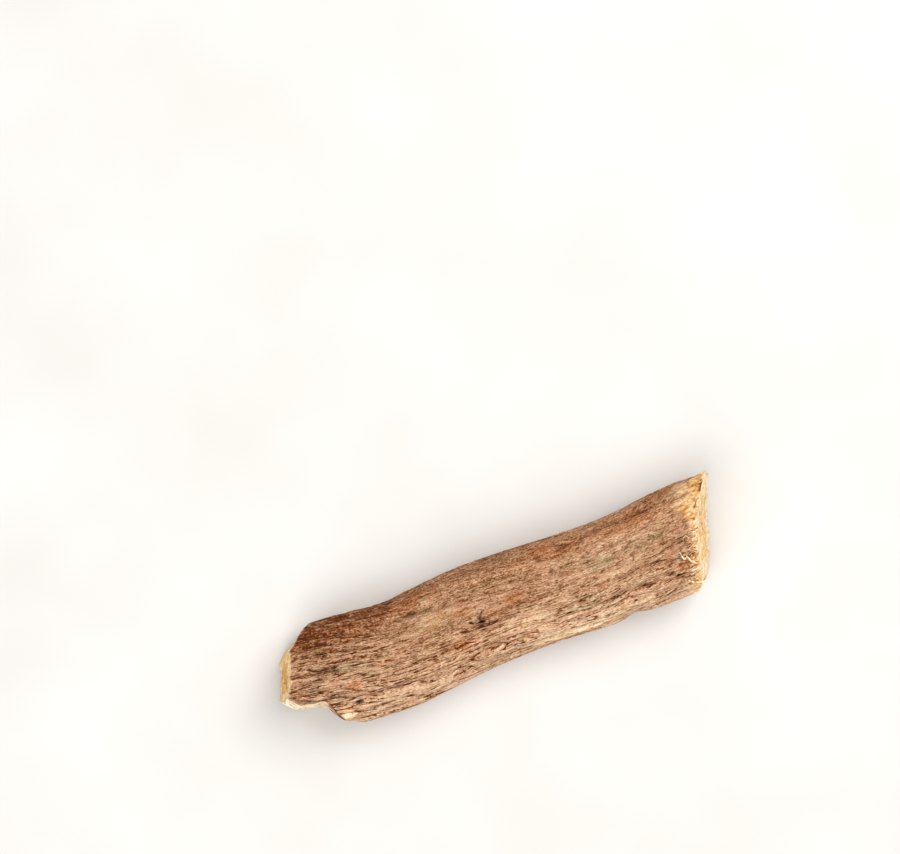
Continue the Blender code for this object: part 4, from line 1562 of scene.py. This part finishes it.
def add_piece(name: str, mesh: bpy.types.Mesh, material: bpy.types.Material) -> bpy.types.Object:
    """Adds a piece that rides on the root's body.

    Args:
        name: The piece's name.
        mesh: Its mesh, already in place.
        material: Its finish.

    Returns:
        The new object.
    """
    mesh.materials.append(material)
    piece = bpy.data.objects.new(name, mesh)
    bpy.context.scene.collection.objects.link(piece)
    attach(piece, BODY)
    log.info("%s: %d points, %d faces", name, len(mesh.vertices), len(mesh.polygons))
    return piece


def linear(colour: str) -> tuple[float, float, float, float]:
    """Turns an sRGB hex colour into the linear colour that a shader takes."""
    parts = [int(colour[start:start + 2], 16) / 255.0 for start in (1, 3, 5)]
    return *(c / 12.92 if c <= 0.04045 else ((c + 0.055) / 1.055) ** 2.4 for c in parts), 1.0


def fill_inputs(tree: bpy.types.NodeTree, node: bpy.types.Node, inputs: dict) -> None:
    """Links or sets a node's inputs.

    Args:
        tree: The material's node tree.
        node: The node.
        inputs: For each input, by name or number, a node or an output to link, or a value to set.
    """
    for name, value in inputs.items():
        if isinstance(value, bpy.types.Node):
            value = next(output for output in value.outputs if output.enabled)
        if isinstance(value, bpy.types.NodeSocket):
            tree.links.new(value, node.inputs[name])
        else:
            node.inputs[name].default_value = value


def add_node(tree: bpy.types.NodeTree, kind: str, inputs: dict, **settings: str | bool) -> bpy.types.Node:
    """Adds a node to a tree.

    Args:
        tree: The material's node tree.
        kind: The node's type, without the ShaderNode that every type starts with.
        inputs: What its inputs take, as in fill_inputs.
        settings: The node's own properties.

    Returns:
        The new node.
    """
    node = tree.nodes.new("ShaderNode" + kind)
    for name, value in settings.items():
        setattr(node, name, value)
    fill_inputs(tree, node, inputs)
    return node


def colour_row(ramp: bpy.types.ColorRamp, stops: Stops) -> None:
    """Sets a ramp's colours.

    Args:
        ramp: The ramp.
        stops: Its stops, each a place and an sRGB hex colour.
    """
    ramp.elements.remove(ramp.elements[-1])
    ramp.elements[0].position, ramp.elements[0].color = stops[0][0], linear(stops[0][1])
    for place, colour in stops[1:]:
        ramp.elements.new(place).color = linear(colour)


@dataclass(frozen=True)
class Pattern:
    """Noise in a finish that is drawn out along the grain, and how much it tints and raises the surface."""

    length: float
    width: float
    detail: float
    start: float
    tint: float = 0.0
    height: float = 0.0
    roughness: float = 0.6

    def add(self, tree: bpy.types.NodeTree, grain: bpy.types.NodeSocket) -> bpy.types.Node:
        """Adds the pattern's nodes.

        Args:
            tree: The material's node tree.
            grain: The coordinates that follow the grain.

        Returns:
            The node that gives the pattern, from about 0 to 1.
        """
        place = add_node(tree, "Mapping", {
            "Vector": grain, "Location": (self.start, 0.0, 0.0),
            "Scale": (1.0 / self.length, 1.0 / self.width, 1.0 / self.width)})
        return add_node(tree, "TexNoise", {
            "Vector": place, "Scale": 1.0, "Detail": self.detail, "Roughness": self.roughness})


@dataclass(frozen=True)
class RootFinish:
    """Licorice root, dug, cut and dried in air: flaky bark over fibrous yellow wood.

    The bark is matt and tan to brown with fine streaks along the grain. It is painted paler on its ridges, a
    painted highlight over somewhat rubbed bark, and darker in its furrows, cracks and hairlines, which is
    painted shade. Wood shows golden to cream at the cuts and where the bark has come off.
    """

    bark: tuple[tuple[float, str], ...] = (
        (0.0, "#562a12"),
        (0.2, "#7f4e2d"),
        (0.4, "#ab7f5e"),
        (0.55, "#c39876"),
        (0.72, "#dab492"),
        (1.0, "#eed2b2"),
    )
    wood: tuple[tuple[float, str], ...] = (
        (0.0, "#a56c34"),
        (0.35, "#d79e58"),
        (0.6, "#ebc389"),
        (0.8, "#f6dcb2"),
        (1.0, "#fdf0d6"),
    )
    rust: str = "#f2be8a"
    ash: str = "#dcf8ee"
    rosy: str = "#ffe4e0"
    olive: str = "#e6fce0"
    shadow: str = "#2c1205"
    wood_shadow: str = "#80481a"
    streak: Pattern = Pattern(1.4, 0.34, 3.0, 0.0, 0.25, 0.6)
    # Real bark threads and scales are under 0.1 mm wide. They are drawn a little wider, so that they show.
    thread: Pattern = Pattern(0.8, 0.15, 2.0, 40.0, 0.85, 0.6)
    fleck: Pattern = Pattern(0.36, 0.14, 1.0, 120.0, 0.95, 0.4)
    blotch: Pattern = Pattern(2.2, 1.1, 3.0, 80.0)
    tone: Pattern = Pattern(4.0, 1.8, 2.0, 240.0)
    # How a pattern becomes the strength of a tint: what it is multiplied by, what is added, and the share.
    olive_tone: tuple[float, float, float] = (5.0, -2.7, 0.38)
    rosy_tone: tuple[float, float, float] = (-5.0, 2.3, 0.38)
    # The same for the blotches that break up rust and ash, without a share.
    blotches: tuple[Levels, Levels] = ((2.0, -1.22), (-2.0, 0.75))
    tint_gain: float = 1.3
    rust_strength: float = 0.85
    ash_strength: float = 0.8
    # Hairlines are painted shade under the bark's little ridges and flakes.
    hairlines: Pattern = Pattern(6.5, 0.55, 2.0, 160.0)
    hairline_breaks: Pattern = Pattern(1.2, 1.0, 1.0, 200.0)
    hairline_width: float = 0.045
    hairline_shade: float = 1.05
    hairline_depth: float = 0.6
    break_gain: float = 4.0
    break_offset: float = -1.3
    wood_contrast: float = 0.6
    crack_shade_strength: float = 1.15
    bump_height: float = 0.11
    roughness: float = 0.86
    specular: float = 0.05

    def material(self) -> bpy.types.Material:
        """Builds the finish.

        Returns:
            A material that reads the skin's masks.
        """
        material = bpy.data.materials.new("air_dried_root_bark")
        material.use_nodes = True
        tree = material.node_tree
        masks = {
            mask: add_node(tree, "Attribute", {}, attribute_name=mask.value).outputs["Fac"] for mask in Mask}
        bare = masks[Mask.BARE]
        grain = add_node(tree, "Attribute", {}, attribute_name=GRAIN_SPACE).outputs["Vector"]
        lines, line = self.hairline_nodes(tree, grain, masks[Mask.LINES])
        variation, height = self.streak_nodes(tree, grain, line)

        place = add_node(tree, "Math", {0: masks[Mask.PALE], 1: variation}, operation="ADD")
        bark = add_node(tree, "ValToRGB", {0: place})
        colour_row(bark.color_ramp, self.bark)
        bark = self.tinted(tree, grain, masks, bark)
        fibrous = add_node(
            tree, "Math", {0: variation, 1: self.wood_contrast, 2: lines}, operation="MULTIPLY_ADD")
        fibrous = add_node(tree, "Math", {0: fibrous, 1: 0.5}, operation="SUBTRACT")
        place = add_node(tree, "Math", {0: masks[Mask.CREAM], 1: fibrous}, operation="ADD")
        wood = add_node(tree, "ValToRGB", {0: place})
        colour_row(wood.color_ramp, self.wood)
        # Cracks, pits and hollows are mixed towards the shadow colours: painted shade, dark brown on bark and
        # warm brown on wood.
        dark = add_node(tree, "Math", {0: masks[Mask.CRACK_SHADE], 1: self.crack_shade_strength},
                        operation="MULTIPLY", use_clamp=True)
        pairs = ((bark, wood), (linear(self.shadow), linear(self.wood_shadow)))
        surface, shadow = (add_node(tree, "Mix", {0: bare, 6: on_bark, 7: on_wood}, data_type="RGBA")
                           for on_bark, on_wood in pairs)
        colour = add_node(tree, "Mix", {0: dark, 6: surface, 7: shadow}, data_type="RGBA")
        bump = add_node(tree, "Bump", {"Height": height, "Strength": 1.0, "Distance": self.bump_height * MM})
        fill_inputs(tree, tree.nodes["Principled BSDF"], {
            "Base Color": colour, "Normal": bump,
            "Roughness": self.roughness, "Specular IOR Level": self.specular})
        return material

    def hairline_nodes(self, tree: bpy.types.NodeTree, grain: bpy.types.NodeSocket,
                       strength: bpy.types.NodeSocket) -> tuple[bpy.types.Node, bpy.types.Node]:
        """Draws the dark hairlines, painted shade under the bark's little ridges and flakes, which run along
        the grain where a slow pattern crosses its middle.

        Args:
            tree: The material's node tree.
            grain: The coordinates that follow the grain.
            strength: How strong the lines are.

        Returns:
            The slow pattern, and how much each point is in a line.
        """
        lines = self.hairlines.add(tree, grain)
        away = add_node(tree, "Math", {0: lines, 1: 0.5}, operation="SUBTRACT")
        away = add_node(tree, "Math", {0: away}, operation="ABSOLUTE")
        line = add_node(tree, "MapRange", {
            "Value": away, "From Min": 0.0, "From Max": self.hairline_width, "To Min": 1.0, "To Max": 0.0})
        breaks = self.hairline_breaks.add(tree, grain)
        breaks = add_node(tree, "Math", {0: breaks, 1: self.break_gain, 2: self.break_offset},
                          operation="MULTIPLY_ADD", use_clamp=True)
        for factor in (breaks, strength):
            line = add_node(tree, "Math", {0: line, 1: factor}, operation="MULTIPLY")
        return lines, line

    def streak_nodes(self, tree: bpy.types.NodeTree, grain: bpy.types.NodeSocket,
                     line: bpy.types.Node) -> tuple[bpy.types.Node, bpy.types.Node]:
        """Adds up the streaks, threads, flecks and hairlines.

        Args:
            tree: The material's node tree.
            grain: The coordinates that follow the grain.
            line: How much each point is in a hairline.

        Returns:
            How much paler they make each point, and how high they raise it.
        """
        patterns = (self.streak, self.thread, self.fleck)
        middle = sum(pattern.tint for pattern in patterns) / 2
        paler, height = (
            add_node(tree, "Math", {0: line, 1: -gain, 2: -offset}, operation="MULTIPLY_ADD")
            for gain, offset in ((self.hairline_shade, middle), (self.hairline_depth, 0.0)))
        for pattern in patterns:
            streaks = pattern.add(tree, grain)
            paler, height = (
                add_node(tree, "Math", {0: streaks, 1: gain, 2: total}, operation="MULTIPLY_ADD")
                for gain, total in ((pattern.tint, paler), (pattern.height, height)))
        return paler, height

    def tinted(self, tree: bpy.types.NodeTree, grain: bpy.types.NodeSocket,
               masks: dict[Mask, bpy.types.NodeSocket], colour: bpy.types.Node) -> bpy.types.Node:
        """Tints the bark in soft olive and rosy tones, and in rust and ash where the masks say so.

        Args:
            tree: The material's node tree.
            grain: The coordinates that follow the grain.
            masks: Every mask.
            colour: The bark's colour before it is tinted.

        Returns:
            The tinted colour.
        """
        tone, blotch = self.tone.add(tree, grain), self.blotch.add(tree, grain)
        rusty, ashy = (add_node(tree, "Math", {0: blotch, 1: gain, 2: offset}, operation="MULTIPLY_ADD")
                       for gain, offset in self.blotches)
        for source, (gain, offset, share), tint in (
                (tone, self.olive_tone, self.olive),
                (tone, self.rosy_tone, self.rosy),
                (masks[Mask.RUST], (self.tint_gain, rusty, self.rust_strength), self.rust),
                (masks[Mask.ASH], (self.tint_gain, ashy, self.ash_strength), self.ash)):
            amount = add_node(
                tree, "Math", {0: source, 1: gain, 2: offset}, operation="MULTIPLY_ADD", use_clamp=True)
            amount = add_node(tree, "Math", {0: amount, 1: share}, operation="MULTIPLY")
            colour = add_node(tree, "Mix", {0: amount, 6: colour, 7: linear(tint)},
                              data_type="RGBA", blend_type="MULTIPLY")
        return colour


@dataclass(frozen=True)
class FloorFinish:
    """Matt painted board: plain, pale and even, with a very faint mottle."""

    light: str = "#e6e3de"
    dark: str = "#dedbd5"
    mottle: float = 30.0
    levels: Levels = (0.3, 0.7)
    roughness: float = 0.9

    def material(self) -> bpy.types.Material:
        """Builds the finish.

        Returns:
            The material.
        """
        material = bpy.data.materials.new("matt_painted_board")
        material.use_nodes = True
        tree = material.node_tree
        place = add_node(tree, "TexCoord", {}).outputs["Object"]
        mottle = add_node(tree, "TexNoise", {"Vector": place, "Scale": 1.0 / (self.mottle * MM)})
        colour = add_node(tree, "ValToRGB", {0: mottle})
        colour_row(colour.color_ramp, tuple(zip(self.levels, (self.dark, self.light))))
        fill_inputs(tree, tree.nodes["Principled BSDF"], {"Base Color": colour, "Roughness": self.roughness})
        return material


@dataclass(frozen=True)
class Lamp:
    """A soft square light, placed by how far it hangs towards the picture's right and top, and how high."""

    name: str
    right: float
    top: float
    height: float
    size: float
    power: float
    colour: str


@dataclass
class Studio:
    """The floor, the soft lights and the camera straight above."""

    floor_size: float = 3000.0
    floor_parts: int = 4
    lens: float = 100.0
    sensor: float = 36.0
    nearest_seen: float = 10.0
    camera_place: tuple[float, float, float] = (2.41, 31.20, 419.3)
    camera_turn: float = -20.0
    target: tuple[float, float, float] = (0.0, 0.0, 7.0)
    lamps: tuple[Lamp, ...] = (
        Lamp("key_light", 200.0, 220.0, 440.0, 300.0, 1.75, "#ffffff"),
        Lamp("fill_light", -200.0, -260.0, 430.0, 420.0, 1.5, "#fafbff"),
    )
    room_light: float = 0.55

    def floor(self, finish: FloorFinish) -> None:
        """Lays the floor.

        Args:
            finish: Its finish.
        """
        sheet = bmesh.new()
        bmesh.ops.create_grid(
            sheet, x_segments=self.floor_parts, y_segments=self.floor_parts, size=self.floor_size / 2 * MM)
        mesh = bpy.data.meshes.new("floor")
        sheet.to_mesh(mesh)
        sheet.free()
        mesh.materials.append(finish.material())
        floor = bpy.data.objects.new("floor", mesh)
        bpy.context.scene.collection.objects.link(floor)

    def light(self, lamp: Lamp) -> None:
        """Hangs a soft light that faces the root.

        Args:
            lamp: The light.
        """
        turn = math.radians(self.camera_turn)
        right = Vector((math.cos(turn), math.sin(turn), 0.0))
        top = Vector((-math.sin(turn), math.cos(turn), 0.0))
        place = right * lamp.right + top * lamp.top + Vector((0.0, 0.0, lamp.height))
        light = bpy.data.lights.new(lamp.name, "AREA")
        light.shape = "SQUARE"
        light.size = lamp.size * MM
        light.energy = lamp.power
        light.color = linear(lamp.colour)[:3]
        holder = bpy.data.objects.new(lamp.name, light)
        holder.location = place * MM
        holder.rotation_euler = (Vector(self.target) - place).to_track_quat("-Z", "Y").to_euler()
        bpy.context.scene.collection.objects.link(holder)

    def camera(self) -> None:
        """Hangs the camera, looking straight down."""
        lens = bpy.data.cameras.new("camera")
        lens.lens = self.lens
        lens.sensor_width = self.sensor
        lens.clip_start = self.nearest_seen * MM
        holder = bpy.data.objects.new("camera", lens)
        holder.location = Vector(self.camera_place) * MM
        holder.rotation_euler = (0.0, 0.0, math.radians(self.camera_turn))
        bpy.context.scene.collection.objects.link(holder)
        bpy.context.scene.camera = holder

    def build(self) -> None:
        """Sets up the floor, the lights, the surroundings and the camera."""
        scene = bpy.context.scene
        scene.view_settings.view_transform = "Standard"
        self.floor(FloorFinish())
        for lamp in self.lamps:
            self.light(lamp)
        world = bpy.data.worlds.new("soft_room")
        world.use_nodes = True
        sky = world.node_tree.nodes["Background"]
        sky.inputs["Color"].default_value = (1.0, 1.0, 1.0, 1.0)
        sky.inputs["Strength"].default_value = self.room_light
        scene.world = world
        self.camera()


def main() -> None:
    """Builds the root and its surroundings, and reports each piece."""
    logging.basicConfig(level=logging.INFO, format="%(name)s: %(message)s")
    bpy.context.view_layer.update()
    root = Root()
    skin = root.skin()
    bark = RootFinish().material()
    whole = add_piece("whole_root", root.mesh(skin), bark)
    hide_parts(ROOT_NODE)
    surface = Surface(root.form, skin)
    add_piece("bark_flakes", Flakes().mesh(surface), bark)
    add_piece("sprung_fibres", Curls().mesh(surface), bark)
    for fibres in (RIM_FIBRES, TORN_FIBRES):
        add_piece(fibres.name, fibres.mesh(surface), bark)
    Studio().build()


if __name__ == "__main__":
    main()
